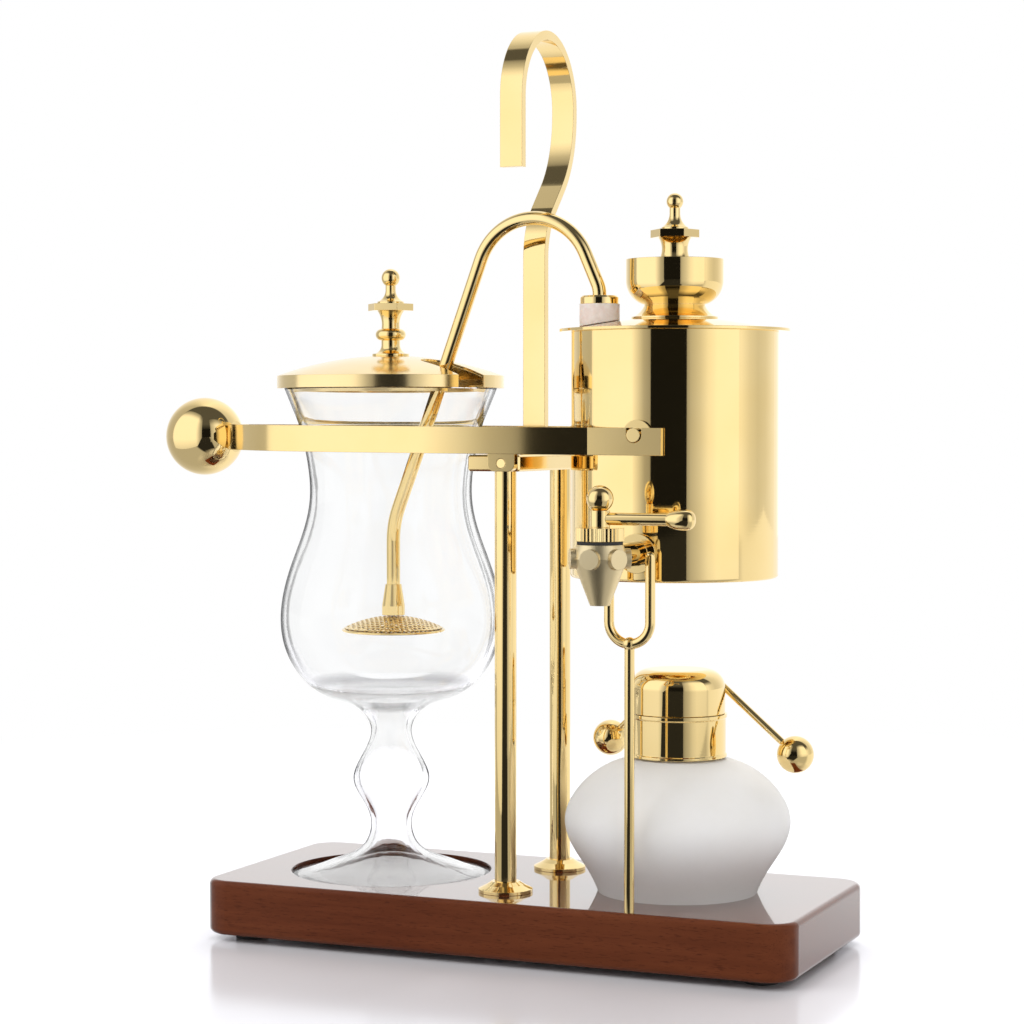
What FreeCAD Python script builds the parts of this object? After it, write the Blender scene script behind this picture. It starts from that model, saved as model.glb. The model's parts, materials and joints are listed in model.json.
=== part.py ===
"""Balance siphon coffee maker: kettle on a tilting beam, stemmed glass and spirit lamp on a wooden base.

Millimetres. +Z is up, +X runs along the base towards the kettle, +Y runs to the back.
The origin is on the table under the middle of the base.
"""
import FreeCAD, Part
import math
import os

V = FreeCAD.Vector
UP = V(0, 0, 1)
BACK = V(0, 1, 0)
RIGHT = V(1, 0, 0)

# Fits
RUNNING_GAP = 0.05
LOOSE_GAP = 0.3
SAME_SPOT = 1e-6

# Wooden base
BASE_LENGTH = 271.0
BASE_DEPTH = 117.0
BASE_THICK = 24.0
BASE_CORNER = 13.0
BASE_EDGE_ROUND = 2.5
FOOT_HEIGHT = 3.0
FOOT_R = 7.0
FOOT_INSET = 17.0
FOOT_SOCKET = 1.0
RECESS_R = 45.2
RECESS_DEPTH = 3.0

# Posts and the bridge that they carry
POST_SPACING = 62.0
POST_R = 4.7
POST_WALL = 1.4
POST_LENGTH = 181.0
POST_SOCKET = 3.0
COLLAR_R = 11.7
COLLAR_EDGE = 1.4
COLLAR_HEIGHT = 4.6
COLLAR_WAIST_SHARE = 0.7
TIE_R = 2.5
TIE_THREAD = 5.0
TIE_END = 1.0
TIE_NUT_FLATS = 8.0
TIE_NUT_HEIGHT = 4.0
TIE_WASHER_R = 7.0
TIE_WASHER_THICK = 1.2
TIE_POCKET_R = 8.5
TIE_POCKET_DEPTH = 9.0
BRIDGE_WIDTH = 24.0
BRIDGE_DEPTH = 88.0
BRIDGE_THICK = 7.0
BRIDGE_EDGE = 0.8

# Carrying handle
HANDLE_WIDTH = 10.3
HANDLE_THICK = 4.0
HANDLE_Y = 2.5
HANDLE_TENON = 4.0
HANDLE_HEIGHT = 185.0
HANDLE_LOOP_R = 29.45
HANDLE_LOOP_Y = 6.45
HANDLE_LEG = 30.3
HANDLE_BEND_RISE = 98.0
HANDLE_BEND_SLOPE = 45.0
HANDLE_LOW_BEND_R = 30.0
HANDLE_HIGH_BEND_R = 48.0
HANDLE_SCREW_R = 1.5
HANDLE_SCREW_HEAD_R = 3.0
HANDLE_SCREW_HEAD = 1.6
HANDLE_SCREW_LENGTH = 10.0

# Tilting beam and its counterweight
BEAM_HEIGHT = 11.4
BEAM_THICK = 3.0
BEAM_OVER_BRIDGE = 0.5
BEAM_END_X = -149.0
BEAM_END_HALF = 8.0
BEAM_WIDEST_X = -60.0
BEAM_WIDEST_HALF = 54.0
BEAM_TIP_X = 77.0
BEAM_TIP_HALF = 49.2
BEAM_SLANT = 0.35
PIVOT_X = 6.0
PIVOT_R = 2.0
PIVOT_BELOW_BRIDGE_TOP = 3.5
PIVOT_SEAT = 9.0
LUG_WIDTH = 12.0
LUG_THICK = 4.0
LUG_DROP = 7.4
LUG_CORNER = 3.0
BALL_R = 17.9
BALL_FLAT = 1.5
STUD_R = 2.5
STUD_IN_BALL = 14.0
STUD_OUT = 8.0
STUD_NUT_FLATS = 8.0
STUD_NUT_HEIGHT = 4.0

# Kettle
KETTLE_X = 65.5
KETTLE_R = 44.5
INSIDE_SKIN = 0.9
KETTLE_WALL = 0.7
KETTLE_HEIGHT = 105.0
KETTLE_BOTTOM_ROUND = 1.4
KETTLE_PIN_ABOVE_BOTTOM = 61.1
KETTLE_PIN_ABOVE_BEAM_MIDDLE = 2.3
KETTLE_PIN_R = 2.9
KETTLE_PIN_PROUD = 0.8
KETTLE_BOSS_R = 6.4
BRIM_R = 49.4
BRIM_THICK = 1.2
BRIM_LAND = 4.0
LID_RISE = 4.4
LID_SWELL = 0.53
LID_SHEET = 1.0
LID_SPIGOT = 4.0
NECK_R = 5.0
NECK_WALL = 1.6
NECK_DROP = 5.0

# Filler bowl and plug on the kettle lid
BOWL_FOOT_R = 18.6
BOWL_FOOT_HEIGHT = 6.0
BOWL_FOOT_EDGE = 0.8
BOWL_WAIST_R = 13.0
BOWL_FLARE_SHARE = 0.38
BOWL_R = 20.9
BOWL_WALL = 1.2
BOWL_FLOOR = 1.6
BOWL_HEIGHT = 19.4
BOWL_BAND = 9.0
PLUG_SEAL_R = 7.4
PLUG_SEAL_THICK = 1.2
PLUG_FOOT_R = 7.0
PLUG_WAIST_R = 5.6
PLUG_BODY = 25.9
PLUG_FLANGE_R = 10.5
PLUG_FLANGE_THICK = 3.3
PLUG_CONE_R = 5.8
PLUG_NECK_R = 2.3
PLUG_NECK_RISE = 8.5
PLUG_BALL_R = 3.6
PLUG_SHANK = 9.0

# Tap
TAP_RISE = 12.2
TAP_REACH = 43.5
TAP_NECK_R = 5.0
TAP_BORE_R = 2.5
TAP_FLANGE_R = 8.25
TAP_FLANGE_THICK = 2.4
TAP_MAX_R = 11.1
TAP_BOSS_R = 4.1
TAP_BOSS_REACH = 12.2
TAP_BOSS_TURNS = (-150, -90, -30, 30, 150)
TAP_TIP_R = 3.95
TAP_TIP_DROP = 18.7
TAP_SHOULDER_R = 9.4
TAP_SHOULDER_RISE = 5.6
TAP_OUTLET_R = 2.0
TAP_RING_R = 9.2
TAP_RING_THICK = 1.4
TAP_NUT_R = 9.75
TAP_NUT_HEIGHT = 5.3
TAP_NUT_RIDGES = 36
TAP_NUT_RIDGE_DEPTH = 0.45
TAP_PLUG_R = 4.0
TAP_PLUG_DEPTH = 8.0
TAP_HUB_R = 4.0
TAP_HUB_HEIGHT = 6.6
TAP_BALL_R = 5.4
TAP_BALL_SINK = 0.8
TAP_ARM_R = 2.5
TAP_ARM_LENGTH = 26.0
TAP_EGG_R = 4.2
TAP_EGG_LENGTH = 14.0
TAP_EGG_BACK = 0.25
TAP_EGG_BACK_SHARE = 0.86
TAP_EGG_WIDEST = 0.3
TAP_EGG_TAPER = V(0.6, 0, 1)

# Guide fork that steadies the tap
FORK_Y = -54.3
FORK_R = 2.1
FORK_GAP = 13.8
FORK_CROTCH_RISE = 112.9
FORK_PRONG = 27.1
FORK_SEAT = 12.0
FORK_JOINT_R = 2.9

# Bung, siphon tube and filter
TUBE_Y = -11.5
TUBE_R = 3.0
TUBE_WALL = 0.7
TUBE_KETTLE_OFFSET = -30.0
TUBE_ABOVE_FLOOR = 3.5
TUBE_OUT_RISE = 3.0
TUBE_OUT_LEAN = 23.5
TUBE_IN_LEAN = 20.1
TUBE_OUT_BEND_R = 12.0
TUBE_ARCH_R = 26.4
TUBE_IN_BEND_R = 40.0
TUBE_GLASS_OFFSET = 6.7
TUBE_ARCH_CORNER_RISE = 75.8
TUBE_END_RISE = 43.4
BUNG_R = 8.6
BUNG_NOSE_R = 6.5
BUNG_HEIGHT = 8.6
BUNG_NOSE = 7.0
BUNG_WASHER_R = 8.3
BUNG_WASHER_THICK = 3.6
BUNG_WASHER_EDGE = 0.8
NOZZLE_TOP_R = 3.6
NOZZLE_MAX_R = 5.1
NOZZLE_LENGTH = 14.0
NOZZLE_OVERLAP = 6.0
FILTER_R = 22.9
FILTER_CROWN = 5.6
FILTER_SHEET = 0.9
FILTER_EDGE = 1.8
FILTER_HOLE_R = 0.8
FILTER_RINGS = 5
FILTER_PLATE_SHEET = 0.9

# Glass
GLASS_X = -69.5
GLASS_WALL = 2.3
GLASS_FOOT_R = 44.4
GLASS_FOOT_EDGE = 1.6
GLASS_FLARE_R = 11.9
GLASS_FLARE_RISE = 15.1
GLASS_LOW_NECK_R = 9.5
GLASS_LOW_NECK_RISE = 27.0
GLASS_KNOP_R = 17.1
GLASS_KNOP_RISE = 44.1
GLASS_HIGH_NECK_R = 9.1
GLASS_HIGH_NECK_RISE = 66.8
GLASS_BASIN_R = 28.3
GLASS_BASIN_RISE = 81.6
GLASS_BELLY_R = 49.0
GLASS_BELLY_RISE = 108.9
GLASS_SHOULDER_R = 45.1
GLASS_SHOULDER_RISE = 140.1
GLASS_WAIST_R = 36.3
GLASS_WAIST_RISE = 174.0
GLASS_THROAT_R = 40.6
GLASS_THROAT_RISE = 201.6
GLASS_RIM_R = 47.7
GLASS_HEIGHT = 220.0
GLASS_FLOOR_RISE = 83.6
GLASS_LOW_SIDE_SHARE = 0.25
GLASS_FOOT_SAG = 0.42
GLASS_NECK_FLARE_OUT = 0.62
GLASS_NECK_FLARE_UP = 0.955
GLASS_FOOT_SLOPE = V(-1, 0, 0.08)
GLASS_HOLLOW_SLOPE = V(-1, 0, 0.1)
GLASS_RIM_SLOPE = V(0.4, 0, 1)

# Glass lid
LID_R = 50.9
LID_BAND = 5.5
LID_DOME = 9.2
LID_DOME_REACH = 0.52
LID_DOME_SHARE = 0.72
LID_WALL = 1.0
LID_LIP_R = 42.0
LID_RING_DROP = 1.4
LID_RING_TAPER = 0.5
LID_RING_GAP = 0.8
SLOT_WIDTH = 15.6
SLOT_TURN = -20.0
SLOT_ROOT = 30.0
FINIAL_LIP = 0.3
FINIAL_HOLLOW_R = 1.35
FINIAL_HOLLOW_RISE = 0.45
FINIAL_STEM_RISE = 0.8
FINIAL_TURN = 12.0
KNOB_FOOT_R = 8.3
KNOB_FOOT_HEIGHT = 5.0
KNOB_FOOT_HOLLOW = 0.6
KNOB_FOOT_WAIST = 0.4
KNOB_FOOT_EDGE = 1.0
KNOB_SUNK = 1.84
KNOB_STEM_R = 4.2
KNOB_BEAD_R = 6.8
KNOB_SINK = 0.03
KNOB_BEAD_RISE = 9.6
KNOB_FLANGE_R = 10.4
KNOB_FLANGE_RISE = 20.3
KNOB_FLANGE_THICK = 3.1
KNOB_CONE_R = 6.0
KNOB_NECK_R = 2.3
KNOB_NECK_RISE = 7.5
KNOB_BALL_R = 4.1
KNOB_SCREW_R = 1.5
KNOB_SCREW_DEPTH = 8.0
KNOB_SCREW_HEAD_R = 3.2
KNOB_SCREW_HEAD = 1.6
KNOB_SCREW_SEAT = 0.1

# Spirit lamp
LAMP_X = 67.3
LAMP_TURN = -14.7
LAMP_FOOT_R = 34.2
LAMP_BELLY_R = 48.5
LAMP_BELLY_RISE = 31.0
LAMP_LOWER_R = 40.1
LAMP_LOWER_RISE = 11.6
LAMP_FLANK_R = 46.4
LAMP_FLANK_RISE = 22.0
LAMP_SHOULDER_R = 38.6
LAMP_SHOULDER_RISE = 48.7
LAMP_NECK_R = 17.0
LAMP_NECK_RISE = 58.5
LAMP_NECK_TOP = 69.0
LAMP_FOOT_SLOPE = V(0.36, 0, 1)
LAMP_SHOULDER_SLOPE = V(-1, 0, 0.22)
LAMP_GLASS = 2.8
LAMP_FLOOR = 4.0
COLLAR_OUT_R = 21.2
COLLAR_LOW_RISE = 58.6
COLLAR_TOP_RISE = 77.0
COLLAR_SHEET = 1.2
COLLAR_BEAD = 0.5
BURNER_R = 16.8
BURNER_THICK = 2.0
BURNER_TUBE_R = 4.6
BURNER_TUBE_HEIGHT = 8.0
BURNER_TUBE_DROP = 10.0
WICK_R = 3.4
WICK_PROUD = 3.5
WICK_FLOOR_GAP = 2.0
CAP_R = 20.4
CAP_HEIGHT = 18.7
CAP_WALL = 1.0
CAP_ROUND = 8.0
CAP_SEAT_GAP = 0.2
HINGE_BACK = 25.0
HINGE_PIN_R = 1.2
HINGE_BARREL_R = 2.6
HINGE_BARREL_HALF = 3.6
HINGE_EAR = 2.2
HINGE_PLATE_DROP = 9.0
HINGE_PLATE_THICK = 1.6
ARM_ROD_R = 1.5
ARM_ROD_U = 14.0
ARM_ROD_V = 13.4
ARM_ROD_RISE = 11.4
ARM_ROD_SINK = 3.0
ARM_BALL_R = 7.9
ARM_BALL_U = 48.2
ARM_BALL_V = 17.75
ARM_BALL_DROP = 16.3

# Levels and places that follow from the sizes above
BASE_TOP = FOOT_HEIGHT + BASE_THICK
BRIDGE_BOTTOM = BASE_TOP + POST_LENGTH
BRIDGE_TOP = BRIDGE_BOTTOM + BRIDGE_THICK
PIVOT_Z = BRIDGE_TOP - PIVOT_BELOW_BRIDGE_TOP
BEAM_BOTTOM = BRIDGE_TOP + BEAM_OVER_BRIDGE
BEAM_TOP = BEAM_BOTTOM + BEAM_HEIGHT
BEAM_MIDDLE = BEAM_BOTTOM + BEAM_HEIGHT / 2
KETTLE_PIN_Z = BEAM_MIDDLE + KETTLE_PIN_ABOVE_BEAM_MIDDLE
KETTLE_BOTTOM = KETTLE_PIN_Z - KETTLE_PIN_ABOVE_BOTTOM
KETTLE_RIM = KETTLE_BOTTOM + KETTLE_HEIGHT
BRIM_TOP = KETTLE_RIM + BRIM_THICK
LID_CROWN = BRIM_TOP + LID_RISE
BOWL_SEAT = LID_CROWN + BOWL_FOOT_HEIGHT
PLUG_SEAT = BOWL_SEAT + BOWL_FLOOR + PLUG_SEAL_THICK
TAP_Z = KETTLE_BOTTOM + TAP_RISE
TAP_Y = -(KETTLE_R + TAP_REACH)
TAP_TOP = TAP_Z + TAP_SHOULDER_RISE
TAP_NUT_BOTTOM = TAP_TOP + TAP_RING_THICK
TAP_NUT_TOP = TAP_NUT_BOTTOM + TAP_NUT_HEIGHT
TUBE_X = KETTLE_X + TUBE_KETTLE_OFFSET
TUBE_FILTER_X = GLASS_X + TUBE_GLASS_OFFSET
GLASS_STAND = BASE_TOP - RECESS_DEPTH
GLASS_RIM = GLASS_STAND + GLASS_HEIGHT
GLASS_FLOOR = GLASS_STAND + GLASS_FLOOR_RISE
LID_BAND_TOP = GLASS_RIM + LID_BAND
LID_TOP = LID_BAND_TOP + LID_DOME
COLLAR_TOP = BASE_TOP + COLLAR_TOP_RISE
CAP_BOTTOM = COLLAR_TOP + CAP_SEAT_GAP
HINGE_Z = CAP_BOTTOM
LID_LAND_R = BRIM_R - BRIM_LAND
BUNG_FROM_AXIS = math.hypot(TUBE_KETTLE_OFFSET, TUBE_Y)
BUNG_SEAT = BRIM_TOP + LID_RISE * (LID_LAND_R - BUNG_FROM_AXIS) / (LID_LAND_R - BOWL_FOOT_R)
BUNG_TOP = BUNG_SEAT + BUNG_HEIGHT
WASHER_TOP = BUNG_TOP + BUNG_WASHER_THICK


# Building blocks
def along(radius, start, end):
    """A round bar from one point to another."""
    direction = end - start
    return Part.makeCylinder(radius, direction.Length, start, direction)


def upright(radius, x, y, bottom, top):
    return Part.makeCylinder(radius, top - bottom, V(x, y, bottom), UP)


def tube(radius, bore, x, y, bottom, top):
    return upright(radius, x, y, bottom, top).cut(upright(bore, x, y, bottom, top))


def block(x0, x1, y0, y1, z0, z1):
    return Part.makeBox(x1 - x0, y1 - y0, z1 - z0, V(x0, y0, z0))


def ball(radius, x, y, z):
    return Part.makeSphere(radius, V(x, y, z))


def hexagon(flats, x, y, bottom, top, turn=0.0):
    """An upright hexagonal bar, measured across its flats."""
    corner = flats / math.sqrt(3)
    angles = [math.radians(60 * i + turn) for i in range(7)]
    ring = [V(x + corner * math.cos(a), y + corner * math.sin(a), bottom) for a in angles]
    return Part.Face(Part.makePolygon(ring)).extrude(UP * (top - bottom))


def hex_nut(flats, bore, x, y, bottom, top):
    return hexagon(flats, x, y, bottom, top).cut(upright(bore, x, y, bottom, top))


def fused(first, *others):
    """Several touching blocks as one solid."""
    return first.fuse(list(others)).removeSplitter()


def curve(points, tangents=None):
    """A smooth edge through the points, with optional directions at its two ends."""
    spline = Part.BSplineCurve()
    if tangents:
        spline.interpolate(Points=points, InitialTangent=tangents[0], FinalTangent=tangents[1])
    else:
        spline.interpolate(points)
    return spline


def inset(spline, points, wall):
    """The points moved square to the curve by the wall, to its inner side."""
    moved = []
    for point in points:
        slope = spline.tangent(spline.parameter(point))[0]
        moved.append(point + V(-slope.z, 0, slope.x).normalize() * wall)
    return moved


def spin(edges, x=0.0, y=0.0):
    """A solid of revolution about the upright line through x, y, from edges in radius and height."""
    face = Part.Face(Part.Wire(Part.__sortEdges__(edges)))
    solid = face.revolve(V(0, 0, 0), UP, 360)
    solid.translate(V(x, y, 0))
    return solid


def level_edges(solid, level):
    """The edges of a solid that lie no higher than a level."""
    return [e for e in solid.Edges if e.BoundBox.ZMax < level + SAME_SPOT]


def lines(*points):
    """Straight edges through points given as radius and height."""
    spots = [V(r, 0, z) for r, z in points]
    pairs = [(a, b) for a, b in zip(spots, spots[1:]) if a.distanceToPoint(b) > SAME_SPOT]
    return [Part.LineSegment(a, b).toShape() for a, b in pairs]


def arc(start, middle, end):
    return Part.Arc(V(start[0], 0, start[1]), V(middle[0], 0, middle[1]), V(end[0], 0, end[1])).toShape()


def turned(*points):
    """The closed outline of a turned piece with straight sides, from its radii and heights."""
    return lines(*points, points[0])


def rounded_route(points, radii):
    """A wire of straight runs joined by tangent arcs of the given radii at the inner points."""
    edges = []
    start = points[0]
    for before, corner, after, radius in zip(points, points[1:], points[2:], radii):
        into = (before - corner).normalize()
        out = (after - corner).normalize()
        half = into.getAngle(out) / 2
        reach = radius / math.tan(half)
        bisector = (into + out).normalize()
        centre = corner + bisector * (radius / math.sin(half))
        first = corner + into * reach
        last = corner + out * reach
        if start.distanceToPoint(first) > SAME_SPOT:
            edges.append(Part.LineSegment(start, first).toShape())
        edges.append(Part.Arc(first, centre - bisector * radius, last).toShape())
        start = last
    edges.append(Part.LineSegment(start, points[-1]).toShape())
    return Part.Wire(edges)


# Stand
def base_corners(inset_x, inset_y):
    x, y = BASE_LENGTH / 2 - inset_x, BASE_DEPTH / 2 - inset_y
    return [(-x, -y), (-x, y), (x, -y), (x, y)]


def post_places():
    return [(0.0, -POST_SPACING / 2), (0.0, POST_SPACING / 2)]


def wooden_base():
    slab = block(-BASE_LENGTH / 2, BASE_LENGTH / 2, -BASE_DEPTH / 2, BASE_DEPTH / 2, FOOT_HEIGHT, BASE_TOP)
    corners = [e for e in slab.Edges if abs(e.tangentAt(e.FirstParameter).z) > 0.99]
    slab = slab.makeFillet(BASE_CORNER, corners)
    rims = [e for e in slab.Edges if e.BoundBox.ZLength < SAME_SPOT]
    slab = slab.makeFillet(BASE_EDGE_ROUND, rims)
    cuts = [upright(RECESS_R, GLASS_X, 0, GLASS_STAND, BASE_TOP)]
    for x, y in base_corners(FOOT_INSET, FOOT_INSET):
        cuts.append(upright(FOOT_R, x, y, FOOT_HEIGHT, FOOT_HEIGHT + FOOT_SOCKET))
    for x, y in post_places():
        cuts.append(upright(POST_R, x, y, BASE_TOP - POST_SOCKET, BASE_TOP))
        cuts.append(upright(TIE_R, x, y, FOOT_HEIGHT, BASE_TOP))
        cuts.append(upright(TIE_POCKET_R, x, y, FOOT_HEIGHT, FOOT_HEIGHT + TIE_POCKET_DEPTH))
    cuts.append(upright(FORK_R, KETTLE_X, FORK_Y, BASE_TOP - FORK_SEAT, BASE_TOP))
    return slab.cut(cuts)


def rubber_feet():
    places = base_corners(FOOT_INSET, FOOT_INSET)
    return Part.makeCompound([upright(FOOT_R, x, y, 0, FOOT_HEIGHT + FOOT_SOCKET) for x, y in places])


def post(place):
    x, y = place
    return tube(POST_R, POST_R - POST_WALL, x, y, BASE_TOP - POST_SOCKET, BRIDGE_BOTTOM)


def post_collar(place):
    x, y = place
    waist = (COLLAR_R + POST_R) / 2
    outline = turned(
        (POST_R, BASE_TOP),
        (COLLAR_R, BASE_TOP),
        (COLLAR_R, BASE_TOP + COLLAR_EDGE),
        (waist, BASE_TOP + COLLAR_HEIGHT * COLLAR_WAIST_SHARE),
        (POST_R + COLLAR_EDGE, BASE_TOP + COLLAR_HEIGHT),
        (POST_R, BASE_TOP + COLLAR_HEIGHT),
    )
    return spin(outline, x, y)


def tie_bottom():
    return FOOT_HEIGHT + TIE_POCKET_DEPTH - TIE_WASHER_THICK - TIE_NUT_HEIGHT


def post_tie_rods():
    return Part.makeCompound([
        upright(TIE_R, x, y, tie_bottom() - TIE_END, BRIDGE_BOTTOM + TIE_THREAD) for x, y in post_places()
    ])


def post_washers():
    top = FOOT_HEIGHT + TIE_POCKET_DEPTH
    bottom = top - TIE_WASHER_THICK
    return Part.makeCompound([tube(TIE_WASHER_R, TIE_R, x, y, bottom, top) for x, y in post_places()])


def post_nuts():
    bottom = tie_bottom()
    return Part.makeCompound([
        hex_nut(TIE_NUT_FLATS, TIE_R, x, y, bottom, bottom + TIE_NUT_HEIGHT) for x, y in post_places()
    ])


def bridge_block():
    half_width, half_depth = BRIDGE_WIDTH / 2, BRIDGE_DEPTH / 2
    slab = block(-half_width, half_width, -half_depth, half_depth, BRIDGE_BOTTOM, BRIDGE_TOP)
    slab = slab.makeChamfer(BRIDGE_EDGE, slab.Edges)
    cuts = [upright(TIE_R, x, y, BRIDGE_BOTTOM, BRIDGE_BOTTOM + TIE_THREAD) for x, y in post_places()]
    cuts += pivot_pins().Solids
    cuts += [handle_tenon(), handle_screw()]
    return slab.cut(cuts)


def pivot_pins():
    pins = []
    for side in (-1, 1):
        start = V(PIVOT_X, side * (BRIDGE_DEPTH / 2 - PIVOT_SEAT), PIVOT_Z)
        end = V(PIVOT_X, side * (beam_half(PIVOT_X) - BEAM_THICK), PIVOT_Z)
        pins.append(along(PIVOT_R, start, end))
    return Part.makeCompound(pins)


def handle_tenon():
    half = HANDLE_WIDTH / 2
    thick = HANDLE_THICK / 2
    return block(-half, half, HANDLE_Y - thick, HANDLE_Y + thick, BRIDGE_TOP - HANDLE_TENON, BRIDGE_TOP)


def handle_screw():
    head_top = BRIDGE_BOTTOM + HANDLE_SCREW_HEAD
    shank = upright(HANDLE_SCREW_R, 0, HANDLE_Y, head_top, BRIDGE_BOTTOM + HANDLE_SCREW_LENGTH)
    head = upright(HANDLE_SCREW_HEAD_R, 0, HANDLE_Y, BRIDGE_BOTTOM, head_top)
    return fused(head, shank)


def carry_handle():
    """A flat bar that rises from the bridge, bends to the back and loops over to the front."""
    bottom = BRIDGE_TOP - HANDLE_TENON
    top = BRIDGE_TOP + HANDLE_HEIGHT - HANDLE_THICK / 2
    back = HANDLE_LOOP_Y + HANDLE_LOOP_R
    front = HANDLE_LOOP_Y - HANDLE_LOOP_R
    bend = BRIDGE_TOP + HANDLE_BEND_RISE
    high_bend = bend + (back - HANDLE_Y) * math.tan(math.radians(HANDLE_BEND_SLOPE))
    end = top - HANDLE_LOOP_R - HANDLE_LEG
    shank = [(HANDLE_Y, bottom), (HANDLE_Y, bend)]
    route = shank + [(back, high_bend), (back, top), (front, top), (front, end)]
    radii = [HANDLE_LOW_BEND_R, HANDLE_HIGH_BEND_R, HANDLE_LOOP_R, HANDLE_LOOP_R]
    path = rounded_route([V(0, y, z) for y, z in route], radii)
    half = HANDLE_WIDTH / 2
    thick = HANDLE_THICK / 2
    section = Part.makePolygon([
        V(-half, HANDLE_Y - thick, bottom),
        V(half, HANDLE_Y - thick, bottom),
        V(half, HANDLE_Y + thick, bottom),
        V(-half, HANDLE_Y + thick, bottom),
        V(-half, HANDLE_Y - thick, bottom),
    ])
    bar = path.makePipeShell([section], True, False)
    return bar.cut(handle_screw())


def guide_fork():
    """A rod from the base that splits into two prongs, one each side of the tap's neck."""
    spread = FORK_GAP / 2 + FORK_R
    crotch = BASE_TOP + FORK_CROTCH_RISE
    centre = crotch + FORK_GAP / 2
    bow = Part.makeTorus(spread, FORK_R, V(KETTLE_X, FORK_Y, centre), BACK)
    keep = block(KETTLE_X - 2 * spread, KETTLE_X + 2 * spread, FORK_Y - spread, FORK_Y + spread,
                 centre - 2 * spread, centre)
    pieces = [bow.common(keep), ball(FORK_JOINT_R, KETTLE_X, FORK_Y, crotch - FORK_R)]
    for side in (-1, 1):
        x = KETTLE_X + side * spread
        pieces.append(upright(FORK_R, x, FORK_Y, centre, centre + FORK_PRONG))
        pieces.append(ball(FORK_R, x, FORK_Y, centre + FORK_PRONG))
    rod = upright(FORK_R, KETTLE_X, FORK_Y, BASE_TOP - FORK_SEAT, crotch - FORK_R)
    return fused(rod, *pieces)


# Beam
def beam_radius(x, half):
    """The radius of the arc that leaves the widest place along X and reaches the given half width at x."""
    run = x - BEAM_WIDEST_X
    drop = BEAM_WIDEST_HALF - half
    return (run * run + drop * drop) / (2 * drop)


def beam_half(x, thick=0.0):
    """The beam's half width at x, on its outer face or that much inside it."""
    right_side = x > BEAM_WIDEST_X
    end = (BEAM_TIP_X, BEAM_TIP_HALF) if right_side else (BEAM_END_X, BEAM_END_HALF)
    radius = beam_radius(*end)
    run = x - BEAM_WIDEST_X
    return BEAM_WIDEST_HALF - radius + math.sqrt((radius - thick) ** 2 - run * run)


def beam_outline(end, tip, thick):
    """The beam's plan outline between two places along X, on its outer face or that much inside it."""
    def spot(x, side):
        return V(x, side * beam_half(x, thick), BEAM_BOTTOM)

    middle_left = (end + BEAM_WIDEST_X) / 2
    middle_right = (tip + BEAM_WIDEST_X) / 2
    edges = []
    for side in (-1, 1):
        widest = V(BEAM_WIDEST_X, side * (BEAM_WIDEST_HALF - thick), BEAM_BOTTOM)
        edges.append(Part.Arc(spot(end, side), spot(middle_left, side), widest).toShape())
        edges.append(Part.Arc(widest, spot(middle_right, side), spot(tip, side)).toShape())
    edges.append(Part.LineSegment(spot(end, -1), spot(end, 1)).toShape())
    edges.append(Part.LineSegment(spot(tip, -1), spot(tip, 1)).toShape())
    return Part.Face(Part.Wire(Part.__sortEdges__(edges)))


def slanted(solid):
    """A piece of the beam turned up a little at the ball's end, as it stands with an empty kettle."""
    solid.rotate(V(PIVOT_X, 0, PIVOT_Z), BACK, BEAM_SLANT)
    return solid


def balance_beam():
    outer = beam_outline(BEAM_END_X, BEAM_TIP_X, 0.0).extrude(UP * BEAM_HEIGHT)
    inner = beam_outline(BEAM_END_X + BEAM_THICK, BEAM_TIP_X + BEAM_THICK, BEAM_THICK)
    inner = inner.extrude(UP * BEAM_HEIGHT)
    ring = slanted(outer.cut([inner, level_stud()]))
    notch = KETTLE_PIN_R + LOOSE_GAP
    reach = BEAM_WIDEST_HALF
    slot = block(KETTLE_X - notch, KETTLE_X + notch, -reach, reach, KETTLE_PIN_Z, BEAM_TOP)
    seat = along(notch, V(KETTLE_X, -reach, KETTLE_PIN_Z), V(KETTLE_X, reach, KETTLE_PIN_Z))
    return ring.cut([slot, seat])


def pivot_lugs():
    """Plates on the inner faces of the beam, bored for the pivot pins."""
    lugs = []
    bottom = BEAM_BOTTOM - LUG_DROP
    for side in (-1, 1):
        face = side * (beam_half(PIVOT_X) - BEAM_THICK)
        y0, y1 = sorted((face + side * BEAM_THICK / 2, face - side * LUG_THICK))
        lug = block(PIVOT_X - LUG_WIDTH / 2, PIVOT_X + LUG_WIDTH / 2, y0, y1, bottom, BEAM_TOP)
        low = [e for e in level_edges(lug, bottom) if e.BoundBox.YLength > LUG_THICK / 2]
        lug = lug.makeFillet(LUG_CORNER, low)
        inner = beam_outline(BEAM_END_X + BEAM_THICK, BEAM_TIP_X, BEAM_THICK)
        inner = inner.extrude(UP * (BEAM_TOP - bottom))
        inner.translate(V(0, 0, bottom - BEAM_BOTTOM))
        bore = along(PIVOT_R + RUNNING_GAP, V(PIVOT_X, y0, PIVOT_Z), V(PIVOT_X, y1, PIVOT_Z))
        lugs.append(lug.common(inner).cut(bore))
    return slanted(Part.makeCompound(lugs))


def counterweight_stud():
    return slanted(level_stud())


def level_stud():
    start = V(BEAM_END_X - STUD_IN_BALL, 0, BEAM_MIDDLE)
    return along(STUD_R, start, V(BEAM_END_X + STUD_OUT, 0, BEAM_MIDDLE))


def counterweight_ball():
    x = BEAM_END_X - BALL_R + BALL_FLAT
    whole = ball(BALL_R, x, 0, BEAM_MIDDLE)
    flat = block(BEAM_END_X, x + 2 * BALL_R, -BALL_R, BALL_R, BEAM_MIDDLE - BALL_R, BEAM_MIDDLE + BALL_R)
    return slanted(whole.cut([flat, level_stud()]))


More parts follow.
